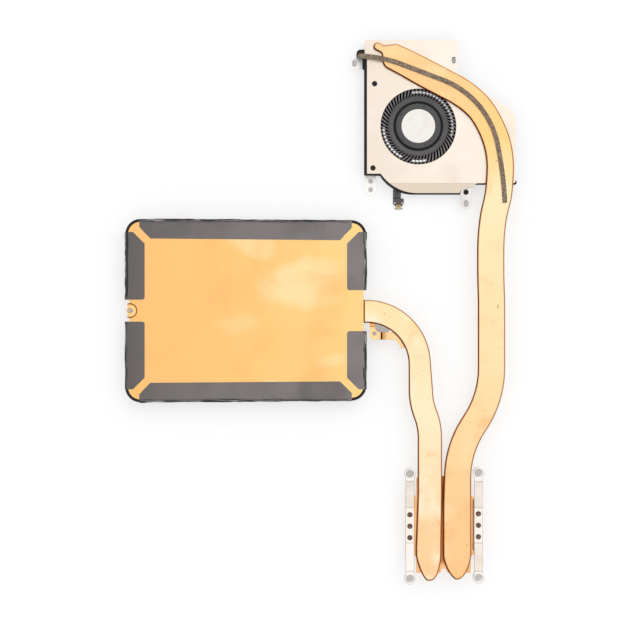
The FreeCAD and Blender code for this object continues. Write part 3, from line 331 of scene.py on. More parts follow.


# Lays tarnish and painted shade on the sides and rolled edges.
def tarnish_and_shade(colour, tarnish, reach, amount=1.0, lean=0.0, width=0.3):
    return use(edges, Colour=colour, Tarnish=tarnish, Reach=reach, Width=width,
               Amount=amount, Lean=lean)["Colour"]


def patched(colour, *patches, amount=1.0, wander=0.0):
    """Lays patches on a colour, each of them (left, right, low, high, softness, its colour)."""
    for left, right, low, high, soft, over in patches:
        colour = use(patch, Colour=colour, Patch=over, Left=left, Right=right, Low=low,
                     High=high, Soft=soft, Amount=amount, Wander=wander)["Colour"]
    return colour


def emboss(height, depth, strength=1.0):
    """Relief on a surface, this many millimetres deep."""
    relief = lay("Bump", {"Height": height, "Strength": strength, "Distance": depth * mm})
    feed(relief.outputs[0], skin("Normal"))


def coat(colour, size=None, depth=None, low=None, high=None, stretch=evenly):
    """Colours a surface. A size adds fine grain, as relief and as gloss between low and high."""
    feed(colour, skin("Base Color"))
    if size:
        fine_grain = use(grain, Size=size, Stretch=stretch, Low=low, High=high)
        feed(fine_grain["Roughness"], skin("Roughness"))
        emboss(fine_grain["Height"], depth)


gap_x = -0.64
plate_left, plate_right = -10.59, 10.11
plate_copper = new_finish("cold_plate_copper", 1.0, 0.38)
colour = clouded((251, 196, 142), (247, 184, 126), 7.0, cover=0.45)
# Painted shade, partly tarnish: brown over the gap between the pipes, darkest near its top, and a
# dark strip along the left margin beside the pipe. The thin dark line on the right ear is the
# right spring's painted shadow.
colour = patched(
    colour,
    (gap_x - 1.8, gap_x + 1.3, -14.0, 25.0, 1.2, (208, 128, 74)),
    (gap_x - 1.6, gap_x + 1.2, 6.0, 17.8, 3.5, (68, 22, 4)),
    (plate_left + 0.5, plate_left + 1.4, -14.0, 18.6, 0.14, (112, 66, 32)),
    (plate_right + 0.4, plate_right + 0.85, -9.0, 10.0, 0.25, (120, 66, 36)))
colour = tarnish_and_shade(colour, (190, 120, 70), 0.7, amount=0.8, lean=0.2)
coat(colour, 0.5, 0.004, 0.3, 0.45, (0.08, 1.0, 1.0))


def clamp(value):
    return min(max(value, 0.0), 1.0)


def push(piece, weights, **settings):
    """Displaces a mesh, each vertex by its own weight."""
    group = piece.vertex_groups.new(name="pushed")
    for index, weight in enumerate(weights):
        group.add([index], weight, "REPLACE")
    apply_modifier(piece, "DISPLACE", vertex_group="pushed", **settings)
    piece.vertex_groups.clear()


def nudge(piece, direction, shift, weigh):
    """Moves a mesh along an axis, each vertex by its own share of the shift, in millimetres."""
    weights = [clamp(weigh(vertex.co / mm)) for vertex in piece.data.vertices]
    push(piece, weights, direction=direction, mid_level=0.0, strength=shift * mm)


right_leaf_shift = (-0.35, 0.35)
right_ear_x = 9.2
cold_plate = pressed_from("cold_plate", "cold_plate_slab", 0.08)
nudge(cold_plate, "X", right_leaf_shift[0], lambda spot: spot.x - right_ear_x)
fit(cold_plate, "cold_plate_copper", plate_copper, "cold_plate")

# --------------------
# Spring brackets. Two nickel-plated steel leaves that press the cold plate down; a line of painted
# shade marks each bend. Three brass rivets, upset from above, hold each leaf on its ear.
leaf_x = 13.0
bend_lines = (-16.75, -6.3, 7.0, 16.75)
spring_steel = new_finish("spring_steel", 1.0, 0.34)
colour = clouded((243, 234, 223), (232, 219, 206), 6.0, cover=0.45)
# Painted shade and light: a thin line of shade at each bend, and the flat middle and ring tabs
# painted paler than the sloping leaves, as light falls on the flats. The lower half of the left
# leaf is painted paler too.
bend_shade = [(-far, far, y - 0.16, y + 0.16, 0.12, (196, 180, 168)) for y in bend_lines]
colour = patched(
    colour, *bend_shade,
    (-far, far, -6.0, 6.7, 0.3, (252, 244, 236)),
    (-far, far, 17.1, 30.0, 0.3, (251, 247, 243)),
    (-far, far, -30.0, -17.1, 0.3, (251, 247, 243)),
    (-far, 0.0, -16.6, -6.4, 0.3, (252, 245, 238)), amount=0.8)
colour = tarnish_and_shade(colour, (116, 98, 88), 0.97, lean=0.3, width=0.2)
coat(colour, 0.4, 0.003, 0.28, 0.42, (1.0, 0.06, 1.0))
for side in ("left", "right"):
    leaf = pressed_from("spring_bracket_" + side, side + "_spring_leaf", 0.14)
    nudge(leaf, "X", right_leaf_shift[0], lambda spot: spot.x)
    nudge(leaf, "Y", right_leaf_shift[1], lambda spot: spot.x)
    fit(leaf, "spring_steel", spring_steel, "spring_bracket_" + side)


def turned(name, x, y, steps, sides=48, hollow=False):
    """A turned piece, drawn out ring by ring: steps are (radius, height) in millimetres.
    A hollow one starts and ends on the same ring."""
    deselect()
    radius, height = steps[0]
    centre = Vector((x * mm, y * mm, 0))
    bpy.ops.mesh.primitive_circle_add(vertices=sides, radius=radius * mm,
                                      fill_type="NOTHING" if hollow else "NGON",
                                      location=centre + Vector((0, 0, height * mm)))
    piece = bpy.context.object
    piece.name = piece.data.name = name
    draw_out = bpy.ops.mesh.extrude_edges_move if hollow else bpy.ops.mesh.extrude_region_move
    edit(piece)
    for next_radius, next_height in steps[1:]:
        draw_out(TRANSFORM_OT_translate={"value": (0, 0, (next_height - height) * mm)})
        grow = next_radius / radius
        bpy.ops.transform.resize(value=(grow, grow, 1), center_override=centre)
        radius, height = next_radius, next_height
    bpy.ops.mesh.select_all(action="SELECT")
    bpy.ops.mesh.remove_doubles(threshold=0.001 * mm)
    bpy.ops.mesh.normals_make_consistent(inside=False)
    end_edit()
    settle(piece)
    return piece


def settle(piece):
    """Puts a piece's place into its mesh, so that its object sits at the origin."""
    work_on(piece)
    bpy.ops.object.transform_apply(location=True, rotation=True, scale=True)


def copy_of(piece, name, move):
    """A copy with its own mesh, moved by a matrix or by (x, y, z) in millimetres."""
    twin = bpy.data.objects.new(name, piece.data.copy())
    bpy.context.scene.collection.objects.link(twin)
    if not isinstance(move, Matrix):
        move = Matrix.Translation(Vector(move) * mm)
    twin.data.transform(move)
    return twin


def join_up(first, others):
    """Makes several meshes one piece."""
    deselect()
    for other in [first] + list(others):
        other.select_set(True)
    bpy.context.view_layer.objects.active = first
    bpy.ops.object.join()
    return first


def clouded_finish(name, metallic, roughness, base, cloud, size, fine, cover=0.5, softness=0.2,
                   tarnish=None):
    """A whole material: clouds of a second colour, sides tinted by tarnish and painted shade if
    any, and fine grain.
    """
    finish = new_finish(name, metallic, roughness)
    colour = clouded(base, cloud, size, cover, softness)
    if tarnish:
        colour = tarnish_and_shade(colour, *tarnish)
    coat(colour, *fine)
    return finish


rivet_brass = clouded_finish("rivet_brass", 1.0, 0.4, (112, 90, 76), (160, 140, 124), 0.6,
                             (0.12, 0.006, 0.35, 0.5), 0.35, 0.1, ((66, 42, 30), 1.06, 0.95))
rivet_steps = [(0.65, 0.25), (0.65, 1.41), (0.96, 1.42), (1.0, 1.46), (0.97, 1.53), (0.86, 1.59),
               (0.72, 1.6), (0.56, 1.585), (0.46, 1.54), (0.4, 1.49), (0.15, 1.48)]
rivet_pitch = 4.3
rivet = turned("rivet_left_0", -leaf_x, -rivet_pitch, rivet_steps, 32)
soften(rivet, 0)
rivets = [rivet]
for row in range(3):
    for side, across in (("left", 0.0), ("right", 1.0)):
        if row or across:
            rivets.append(copy_of(rivet, f"rivet_{side}_{row}", (
                across * (2 * leaf_x + right_leaf_shift[0]),
                row * rivet_pitch + across * right_leaf_shift[1], 0)))
for rivet in rivets:
    fit(rivet, "rivet_brass", rivet_brass, "bracket_rivets")

# --------------------
# Heat pipes. Two soft copper tubes, pressed flat, bent, and pinched shut at their ends. They are
# soldered on the cold plate; their heated ends are browner than the rest, and their rolled edges
# are painted brown, partly tarnish and partly painted shade. A dark line of painted shadow from
# the spreader plate's edge lies where the shorter one goes in under the plate.
sheet_x0, sheet_x1 = -118.79, -30.39
sheet_y0, sheet_y1 = 47.55, 113.85


def tones_along(stops, axis, wander=8.0, size=30.0):
    """A colour that changes slowly along X or Y: stops are (place in millimetres, colour)."""
    low, high = stops[0][0], stops[-1][0]
    place = place_in()
    along = times(axes_of(place)[axis], 1000.0)
    haze = noise(place, 1000.0 / size, 3.0)[0]
    drift = times(calc("SUBTRACT", haze, 0.5), 2 * wander)
    share = calc("DIVIDE", calc("SUBTRACT", calc("ADD", along, drift), low), high - low)
    ramp = lay("ValToRGB", {0: share})
    points = ramp.color_ramp.elements
    points[0].color, points[-1].color = shade(stops[0][1]), shade(stops[-1][1])
    for at, colour in stops[1:-1]:
        points.new((at - low) / (high - low)).color = shade(colour)
    return ramp.outputs[0]


def pipe_finish(name, stops, glow, glow_size):
    """Copper that heat has toned along the pipe, with blotches, spots and rolled edges painted
    brown, as tarnish and as shade.
    """
    finish = new_finish(name, 1.0, 0.36)
    skin("Specular Tint").default_value = shade((222, 140, 90))
    colour = clouded(tones_along(stops, "Y"), glow, glow_size, 0.3, 0.14)
    colour = patched(colour, (10.0, far, 136.0, 164.0, 7.0, (248, 207, 131)), amount=0.6,
                     wander=6.0)
    colour = clouded(colour, (249, 192, 134), 9.0, 0.16, 0.2, 4.0)
    colour = clouded(colour, (190, 120, 70), 1.1, 0.04, 0.05, 9.0)
    # Painted shade, partly tarnish: brown on all rolled edges and darkest on the sides that face
    # left and down, away from the light; the browned edges are also made duller.
    rolled = use(edges, Colour=colour, Tarnish=(176, 94, 40), Reach=0.9995, Width=0.03,
                 Amount=0.8, Lean=0.5)
    colour = tarnish_and_shade(rolled["Colour"], (100, 30, 0), 0.66, lean=0.9, width=0.15)
    # Painted shadow: a dark line on the pipe along the spreader plate's edge, over a solder seam.
    plate_edge_shadow = (sheet_x1 - 2.0, sheet_x1 + 0.55, 76.4, 84.4, 0.12, (124, 72, 18))
    coat(patched(colour, plate_edge_shadow), 0.6, 0.006, 0.28, 0.42)
    gloss = skin("Roughness").links[0].from_socket
    duller = calc("MAXIMUM", gloss, times(rolled["Mask"], 0.75))
    feed(duller, skin("Roughness"))
    return finish


def slice_at(piece, places, direction):
    """Cuts a mesh right across at each place along a direction, so that it can crease there."""
    edit(piece)
    for at in places:
        bpy.ops.mesh.select_all(action="SELECT")
        bpy.ops.mesh.bisect(plane_co=Vector(direction) * at * mm, plane_no=direction)
    end_edit()


def steps_between(low, high, pitch):
    count = int((high - low) / pitch)
    return [low + (high - low) * (i + 0.5) / count for i in range(count)]


pinched_y = -18.0


def spread(piece, shift, start, full, fixed_side):
    """Widens a pressed pipe below a height: towards -X, and less towards the side that stays."""
    slice_at(piece, steps_between(pinched_y, start, 1.5), (0, 1, 0))
    spots = [vertex.co / mm for vertex in piece.data.vertices]
    beside = [spot.x for spot in spots if pinched_y + 8 < spot.y < full]
    left, right = min(beside), max(beside)

    def weigh(spot):
        share = clamp((start - spot.y) / (start - full)) * clamp((spot.y - pinched_y) / 7.0)
        across = clamp((right - spot.x) / (right - left))
        return share * (fixed_side + (1 - fixed_side) * across)

    nudge(piece, "X", -shift, weigh)


def blunten(piece, middle, amount):
    """Widens the last few millimetres of a pinched lower end to both sides of its middle."""
    for side in (-1, 1):
        nudge(piece, "X", side * amount, lambda spot: clamp((-14.5 - spot.y) / 4.0) *
              clamp(side * (spot.x - middle) / 1.2))


fan_pipe_copper = pipe_finish(
    "fan_pipe_copper",
    [(-20.0, (252, 200, 140)), (50.0, (252, 220, 168)), (125.0, (253, 229, 184)),
     (142.0, (252, 205, 142)), (182.0, (250, 203, 146))],
    (254, 230, 184), 13.0)
fan_pipe = pressed_from("heat_pipe_fan", "fan_heat_pipe", None)
spread(fan_pipe, 0.38, 19.0, 8.0, 0.0)
slice_at(fan_pipe, steps_between(74.0, 182.0, 2.0), (0, 1, 0))


def below_slant(spot):
    """How far a place is inside the middle of the slanted run and of the bend that follows it."""
    out = Vector((spot.x + 12.5, spot.y - 134.4))
    depth = 33.75 - (out.length if spot.x > 2.1 else out.dot(Vector((0.434, 0.901))))
    return min(depth / 3.0, (spot.x + 18.0) / 8.0, (10.0 - spot.x) / 6.0, (spot.y - 140.0) / 4.0)


nudge(fan_pipe, "Y", -0.45, below_slant)
nudge(fan_pipe, "X", -0.45, lambda spot: min((spot.y - 122.0) / 8.0, (160.0 - spot.y) / 8.0,
                                             (spot.x - 9.0) / 5.0))
nudge(fan_pipe, "X", -0.3, lambda spot: min((spot.y - 84.0) / 10.0, (112.0 - spot.y) / 8.0))
blunten(fan_pipe, 5.18, 0.34)
nudge(fan_pipe, "Y", -0.45, lambda spot: min((-21.2 - spot.x) / 1.5, (spot.y - 176.0) / 2.0))
nudge(fan_pipe, "Y", -0.4, lambda spot: min((spot.x + 21.2) / 3.0, (-11.5 - spot.x) / 6.0,
                                            (spot.y - 176.5) / 2.5))
soften(fan_pipe, 0)
fit(fan_pipe, "pipe_copper", fan_pipe_copper, "heat_pipe_fan")

spreader_pipe_copper = pipe_finish(
    "spreader_pipe_copper",
    [(-20.0, (253, 206, 150)), (42.0, (254, 236, 198)), (92.0, (253, 222, 166))],
    (254, 240, 210), 11.0)
spreader_pipe = pressed_from("heat_pipe_spreader", "spreader_heat_pipe", None)
spread(spreader_pipe, 0.74, 12.0, -8.0, 0.42)
blunten(spreader_pipe, -5.27, 0.5)
turn_x, turn_y, turn_r = -29.19, 60.45, 20.25


def outside_turn(spot):
    """How far round and outside the middle of the bend a place is: its share along X and Y."""
    out = Vector((max(spot.x - turn_x, 0.001), max(spot.y - turn_y, 0.001)))
    share = clamp((out.length - turn_r) / 3.0) * clamp((spot.y - 53.0) / 8.0)
    return out.normalized() * share * clamp((spot.x + 35.0) / 4.0)


nudge(spreader_pipe, "X", -0.79, lambda spot: outside_turn(spot).x)
nudge(spreader_pipe, "Y", -0.54, lambda spot: outside_turn(spot).y)
soften(spreader_pipe, 0)
fit(spreader_pipe, "pipe_copper", spreader_pipe_copper, "heat_pipe_spreader")

# --------------------
# Spreader plate. A copper sheet soldered on the flattened pipe's end, with round corners and a
# drawn seat for one screw at its left edge. Handling has left paler clouds on its face.
seat_x, seat_y = -117.79, 80.7


def distance_from(x, y):
    """How far away a point is, seen from above, in millimetres."""
    away = vector("SUBTRACT", place_in(), (x * mm, y * mm, 0.0))
    return vector("LENGTH", vector("MULTIPLY", away, (1000.0, 1000.0, 0.0)))


def band(value, start, full, still_full, end):
    """Rises from 0 at the start to 1, and falls to 0 again at the end."""
    return times(fade(value, start, full), fade(value, end, still_full))


spreader_copper = new_finish("spreader_copper", 1.0, 0.4)
# Painted reflection: the sheet is painted more orange on the left and paler towards the right,
# where it reflects the light.
colour = tones_along([(sheet_x0, (252, 196, 124)), (-80.0, (252, 200, 126)),
                      (sheet_x1, (252, 211, 139))], "X", 12.0, 40.0)
place = place_in()
cloud_bend = 0.018
bent = vector("MULTIPLY", noise(place, 45.0, 3.0)[1], (cloud_bend, cloud_bend, 0.0))
spot = vector("ADD", place, bent)
mean_bend = cloud_bend / 2
for x, y, wide, high, amount in ((-54.0, 90.0, 15.0, 10.0, 0.9), (-50.0, 96.0, 15.0, 5.0, 0.4),
                                 (-66.0, 54.5, 10.0, 1.6, 0.6), (-43.0, 63.0, 9.0, 3.0, 0.5),
                                 (-72.0, 104.0, 8.0, 4.0, 0.6), (-76.0, 76.0, 8.0, 5.0, 0.3)):
    away = vector("SUBTRACT", spot, (x * mm + mean_bend, y * mm + mean_bend, 0.0))
    away = vector("LENGTH", vector("MULTIPLY", away, (1000 / wide, 1000 / high, 0.0)))
    colour = tint(times(fade(away, 1.25, 0.55), amount), colour, (253, 223, 168))
colour = clouded(colour, (250, 190, 118), 16.0, 0.3, 0.2, 2.0)
# Rings painted round the seat: paler over its floor, dark brown on its drawn wall as painted shade
# and tarnish, and brown round the hole.
from_seat = distance_from(seat_x, seat_y)
for inner, outer, seat_ring_colour in ((-1.0, 2.6, (254, 212, 146)), (2.38, 2.84, (142, 76, 22)),
                           (0.6, 0.95, (190, 138, 90))):
    share = band(from_seat, inner - 0.1, inner + 0.1, outer - 0.1, outer + 0.1)
    colour = tint(share, colour, seat_ring_colour)
colour = tarnish_and_shade(colour, (124, 70, 34), 0.9, amount=0.9, lean=0.1)
coat(colour, 0.7, 0.005, 0.3, 0.46)


def to_right(spot):
    """How far along the sheet a place is: 0 near its left side and 1 near its right."""
    return (spot.x + 115.0) / 82.0


def draw_in(piece, from_x=-113.0, tapers=True):
    """Makes the sheet, or what is stuck on it, a little smaller at the left and to the right."""
    nudge(piece, "X", 0.45, lambda spot: (from_x - spot.x) / 3.0)
    if tapers:
        nudge(piece, "Y", -0.45, lambda spot: min(to_right(spot), (spot.y - 104.0) / 3.0))
        nudge(piece, "Y", 0.6, lambda spot: min(to_right(spot), (57.0 - spot.y) / 3.0))


spreader_plate = pressed_from("spreader_plate", "spreader_sheet", 0, flat_faces=False, curve=35)
draw_in(spreader_plate)
fit(spreader_plate, "plate_copper", spreader_copper, "spreader_plate")

# --------------------
# Pipe bracket. A small bent copper tab for one more screw, soldered under the pipe's bend.
# Its riser is painted darker than its flat, as shade on the slope, with painted shade at its
# bends.
bracket_copper = new_finish("bracket_copper", 1.0, 0.38)
colour = clouded((252, 212, 152), (254, 226, 172), 3.0, cover=0.4)
colour = tarnish_and_shade(colour, (140, 74, 36), 0.95, lean=0.2)
# Painted shade: a soft darker band over the riser, a dark line at the riser's bend, and
# orange-brown bands along the small bend under the pipe.
colour = patched(
    colour,
    (-23.6, -22.3, 60.0, 80.0, 1.3, (190, 126, 64)),
    (-23.9, -23.25, 69.0, 73.2, 0.12, (84, 38, 8)),
    (-28.3, -26.1, 74.65, 76.6, 0.1, (212, 122, 46)),
    (-28.3, -26.1, 75.0, 75.75, 0.1, (253, 190, 122)))
coat(colour, 0.4, 0.005, 0.3, 0.46)
pipe_bracket = pressed_from("pipe_bracket", "bracket_tab", 0.06)
nudge(pipe_bracket, "X", 0.25, lambda spot: 1.0)
nudge(pipe_bracket, "Y", -0.2, lambda spot: 1.0)
fit(pipe_bracket, "bracket_copper", bracket_copper, "pipe_bracket")

# --------------------
# Foam gaskets. Two strips of soft black foam, stuck under and round the plate's rim to seal it
# against the housing. Small open cells show on its cut faces, and its edges are pressed round.
foam_finish = new_finish("black_foam", 0.0, 0.5)
skin("Specular IOR Level").default_value = 0.3
cells = lay("TexVoronoi", {"Vector": place_in(), "Scale": 3200.0}, feature="SMOOTH_F1").outputs[0]
colour = clouded((17, 16, 17), (30, 29, 31), 3.0, cover=0.4)
coat(tint(times(cells, 0.4), colour, (6, 6, 7)))
emboss(cells, 0.06, 0.5)


def crumple(piece, size, depth, axis, weights=None):
    """Pushes a mesh in and out by a cloudy pattern, along one axis or along its normals."""
    pattern = bpy.data.textures.new(piece.name + "_creases", "CLOUDS")
    pattern.noise_scale = size * mm
    pattern.noise_depth = 2
    settings = {"texture": pattern, "strength": depth * mm, "mid_level": 0.5,
                "direction": axis, "texture_coords": "LOCAL"}
    if weights is None:
        apply_modifier(piece, "DISPLACE", **settings)
    else:
        push(piece, weights, **settings)


for half in ("upper", "lower"):
    foam = pressed_from("gasket_" + half, half + "_foam_strip", None)
    slice_at(foam, steps_between(sheet_x0 - 1, sheet_x1 + 1, 1.6), (1, 0, 0))
    slice_at(foam, steps_between(sheet_y0 - 1, sheet_y1 + 1, 1.6), (0, 1, 0))
    slice_at(foam, (-0.6, 0.2, 1.0, 1.8), (0, 0, 1))
    bevel(foam, 0.3, 3, 50)
    crumple(foam, 3.0, 0.1, "NORMAL")
    draw_in(foam)
    soften(foam, 0)
    fit(foam, "foam", foam_finish, "gasket_" + half)

# --------------------
# Tapes. Six strips of thin grey film, cut slantwise at the corners, that hold the foam to the
# plate. They lie flat on the copper; over the foam's edge they are folded down and crinkle.
middle_x, middle_y = (sheet_x0 + sheet_x1) / 2, (sheet_y0 + sheet_y1) / 2
half_w, half_h = (sheet_x1 - sheet_x0) / 2, (sheet_y1 - sheet_y0) / 2
tape_film = new_finish("grey_film", 0.0, 0.5)
place = place_in()
spot = axes_of(place)
past = []
for axis, middle, half in (("X", middle_x, half_w), ("Y", middle_y, half_h)):
    from_middle = calc("ABSOLUTE", calc("SUBTRACT", spot[axis], middle * mm))
    past.append(calc("SUBTRACT", times(from_middle, 1000.0), half))
past_edge = calc("MAXIMUM", *past)
on_side = calc("GREATER_THAN", *past)
along = calc("ADD", times(on_side, spot["Y"]), times(calc("SUBTRACT", 1.0, on_side), spot["X"]))
drawn = lay("CombineXYZ", {0: times(along, 0.09), 1: times(past_edge, mm), 2: on_side}).outputs[0]
ragged = calc("SUBTRACT", noise(place, 110.0)[0], 0.5)
past_edge = calc("ADD", past_edge, times(ragged, 0.9))
folded = fade(past_edge, 0.25, 0.4)
# Painted light: the film is painted darker on the left and lighter towards the right.
colour = tones_along([(-119.0, (94, 88, 85)), (-104.0, (115, 109, 108)),
                      (-31.0, (132, 124, 123))], "X", 3.0, 20.0)
colour = clouded(colour, (98, 93, 92), 18.0, cover=0.3)
streaks = noise(drawn, 1500.0, Distortion=0.4)[0]
# The folded film is painted near black with grey highlights painted along its crinkles, plain dark
# grey lower down.
folds_with_painted_glints = tint(fade(streaks, 0.42, 0.49), (18, 17, 18), (92, 88, 87))
folds_with_painted_glints = tint(fade(streaks, 0.55, 0.61), folds_with_painted_glints, (150, 147, 146))
folds_with_painted_glints = tint(fade(spot["Z"], 2.6 * mm, 2.3 * mm), folds_with_painted_glints, (44, 42, 42))
# Painted shade: the film darkens towards the rim, except on the tapes at the right.
rim_shade = times(fade(past_edge, -0.5, 0.1, 0.0, 0.8), calc("LESS_THAN", spot["X"], -36 * mm))
colour = tint(rim_shade, colour, (84, 79, 78))
colour = tint(folded, colour, folds_with_painted_glints)
creases = noise(vector("ADD", drawn, (0.02, 0.0, 0.03)), 1300.0)[0]
fold_line = times(band(past_edge, -0.1, -0.02, 0.3, 0.38), fade(creases, 0.52, 0.55))
torn_line = times(band(past_edge, -0.55, -0.45, 0.2, 0.3),
                  calc("LESS_THAN", spot["X"], -117 * mm),
                  calc("GREATER_THAN", spot["Y"], 86 * mm))
under_rim = times(fade(past_edge, 0.56, 0.68), fade(streaks, 0.6, 0.54))
creased = calc("MAXIMUM", calc("MAXIMUM", fold_line, torn_line), under_rim)
coat(tint(creased, colour, (7, 6, 7)))
feed(fade(folded, 0.0, 1.0, 0.52, 0.24), skin("Roughness"))
emboss(noise(place, 2500.0)[0], 0.01, 0.6)

planes = ((1, 0, 0), (0, 1, 0))
for tape, run in (("top", 0), ("bottom", 0), ("left_upper", 1), ("left_lower", 1),
                  ("right_upper", 1), ("right_lower", 1)):
    across = 1 - run
    strip = pressed_from("tape_" + tape, tape + "_film_strip", None)
    low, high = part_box("tape_" + tape)
    slice_at(strip, steps_between(low[run] / mm, high[run] / mm, 0.45), planes[run])
    middle, half = ((middle_x, half_w), (middle_y, half_h))[across]
    side = 1 if high[across] / mm > middle else -1
    slice_at(strip, [middle + side * half + side * beyond for beyond in (0.0, 0.3, 0.6, 0.9)],
             planes[across])
    slice_at(strip, (2.3, 1.8, 1.3), (0, 0, 1))
    weights = [clamp((abs(vertex.co[across] / mm - middle) - half) / 0.5)
               for vertex in strip.data.vertices]
    torn = tape == "left_upper"
    crumple(strip, 2.0, 0.5 if torn else 0.34, "Z", weights)
    crumple(strip, 1.8 if torn else 7.0, 0.75 if torn else 0.6, "XY"[across], weights)
    draw_in(strip, *(() if run == 0 else (-109.5, False)))
    if tape == "top":
        nudge(strip, "Y", -0.3, lambda spot: min(to_right(spot), (109.0 - spot.y) / 2.0))
    soften(strip, 0)
    fit(strip, "tape_grey", tape_film, "tape_" + tape)

# --------------------
# Blower floor. A stamped steel sheet with two screw ears at its left and the lower air vents
# under the impeller, where its face is painted dark as shade. It carries the motor and the plastic
# frame.
axis_x, axis_y = -9.8, 149.9
steel_sides = ((176, 170, 164), 0.75, 0.8, 0.2)
drawn_steel = (0.4, 0.003, 0.32, 0.46, (1.0, 0.08, 1.0))
floor_steel = new_finish("floor_steel", 1.0, 0.4)
colour = clouded((248, 245, 241), (238, 233, 228), 9.0, cover=0.4)
colour = tarnish_and_shade(colour, *steel_sides)
# Painted shade: the floor's upper face under the impeller is painted near black.
under_impeller_shade = fade(distance_from(axis_x, axis_y), 18.6, 17.6)
inner_face = fade(axes_of(place_in())["Z"], -3.1 * mm, -2.95 * mm)
colour = tint(times(under_impeller_shade, inner_face), colour, (38, 36, 35))
coat(colour, *drawn_steel)
blower_floor = pressed_from("fan_base_plate", "blower_floor", 0, flat_faces=False, curve=4)
fit(blower_floor, "base_steel", floor_steel, "fan_base_plate")

# --------------------
# Motor. A brass tube on the floor holds the oil-soaked bronze sleeve and the pad that the shaft
# stands on. Round it sit the small circuit board and the laminated core with its six coils.
for node, *looks in (
        ("bearing_housing", "housing_brass", 1.0, 0.35, (222, 190, 120), (196, 158, 92), 2.0,
         (0.25, 0.004, 0.28, 0.42, (1.0, 1.0, 6.0))),
        ("sleeve_bearing", "sleeve_bronze", 1.0, 0.5, (168, 124, 78), (120, 84, 50), 0.3,
         (0.1, 0.01, 0.4, 0.6)),
        ("thrust_pad", "thrust_pad_plastic", 0.0, 0.4, (226, 218, 200), (206, 196, 176), 1.0,
         (0.15, 0.005, 0.35, 0.5)),
        ("motor_circuit", "board_lacquer", 0.0, 0.3, (34, 78, 48), (48, 98, 60), 1.5,
         (0.3, 0.01, 0.22, 0.35), 0.5, 0.05)):
    dress(node, clouded_finish(*looks))


def layered_finish(name, metallic, roughness, dark, pale, scale, distortion, relief, **wave):
    """Thin layers one on another: stacked sheets, or turns of wire."""
    finish = new_finish(name, metallic, roughness)
    sockets = {"Vector": place_in(), "Scale": scale, "Distortion": distortion}
    layers = lay("TexWave", sockets, **wave).outputs[1]
    coat(tint(layers, dark, pale))
    emboss(layers, *relief)
    return finish


dress("stator_core", layered_finish(
    "core_laminations", 1.0, 0.45, (96, 98, 104), (168, 170, 176), 2100.0, 0.3, (0.02, 0.6),
    bands_direction="Z"))
dress("stator_windings", layered_finish(
    "coil_wire", 0.9, 0.3, (120, 58, 26), (214, 122, 66), 1600.0, 0.6, (0.05, 0.8),
    wave_type="RINGS", rings_direction="Z"))

# --------------------
# Fins. Three rows of folded aluminium sheet, soldered under the pipe along the blower's open
# edges, so that the air that leaves carries the pipe's heat away.
fin_aluminium = clouded_finish("fin_aluminium", 1.0, 0.35, (228, 228, 230), (206, 206, 210), 4.0,
                               (0.3, 0.004, 0.25, 0.42, (1.0, 1.0, 0.1)),
                               tarnish=((186, 186, 190), 0.6, 0.5))
for row in ("top", "diagonal", "side"):
    dress("fin_stack_" + row, fin_aluminium)

# --------------------
# Frame. The black moulded plastic wall of the blower, with a lug at its upper left and a boss
# for the loose ear. The mould has left it faintly grained, with rounded edges.
frame_plastic = new_finish("frame_plastic", 0.0, 0.42)
skin("Specular IOR Level").default_value = 0.25
colour = clouded((24, 19, 18), (34, 28, 26), 5.0)
coat(colour, 0.16, 0.01, 0.36, 0.52)
blower_frame = pressed_from("fan_frame", "blower_frame", 0.08)
corner = Vector((-19.0, 128.0, 0.0))
weights = []
for vertex in blower_frame.data.vertices:
    spot = vertex.co / mm - corner
    weights.append(clamp((9.5 - spot.length) / 4.0) if spot.y < 4.0 else 0.0)
for direction in "XY":
    push(blower_frame, weights, direction=direction, mid_level=0.0, strength=-0.26 * mm)
fit(blower_frame, "frame_plastic", frame_plastic, "fan_frame")

# --------------------
# Rotor. One plastic moulding: the hub's cap, a groove, a sloping flange, thin curved blades, a
# back disc and an outer ring. A steel cup with a magnet ring and the shaft is pressed into it.
for node, *looks in (
        ("rotor_yoke", "yoke_steel", 1.0, 0.35, (176, 176, 180), (150, 150, 156), 4.0,
         (0.3, 0.004, 0.26, 0.4)),
        ("rotor_magnet", "magnet_rubber", 0.0, 0.6, (52, 48, 46), (70, 64, 60), 0.6,
         (0.12, 0.01, 0.5, 0.7)),
        ("rotor_shaft", "shaft_steel", 1.0, 0.18, (214, 214, 218), (196, 196, 200), 1.0,
         (0.2, 0.001, 0.12, 0.22, (1.0, 1.0, 8.0)))):
    dress(node, clouded_finish(*looks))

impeller_plastic = new_finish("impeller_plastic", 0.0, 0.42)
skin("Specular IOR Level").default_value = 0.3
radius = distance_from(axis_x, axis_y)
height = times(axes_of(place_in())["Z"], 1000.0)
colour = clouded((88, 85, 86), (98, 95, 96), 5.0, cover=0.4)
colour = tint(fade(radius, 8.5, 8.3), colour, (78, 79, 78))
# Painted shade: the groove round the hub and the flange's inner slope are painted near black.
groove_shade = times(band(radius, 8.25, 8.4, 8.8, 9.7), fade(height, 0.55, 0.3))
colour = tint(groove_shade, colour, (8, 7, 7))
# Painted shade: the blades lower down, and what lies under them, are painted near black, deep
# between the blades.
shade_between_blades = times(fade(height, 0.0, -1.6), fade(radius, 11.2, 11.5))
colour = tint(shade_between_blades, colour, (10, 9, 9))
# Painted light: the blades' top edges are painted paler towards their outer ends.
lit_blade_tops = times(fade(height, 0.25, 0.4), fade(radius, 11.3, 13.0), 0.85)
colour = tint(lit_blade_tops, colour, (152, 146, 145))
coat(colour, 0.2, 0.008, 0.34, 0.5)


def cut(piece, cutter):
    """Takes a cutter's shape out of a piece, and the cutter out of the scene."""
    apply_modifier(piece, "BOOLEAN", object=cutter, operation="DIFFERENCE", solver="EXACT")
    bpy.data.objects.remove(cutter)


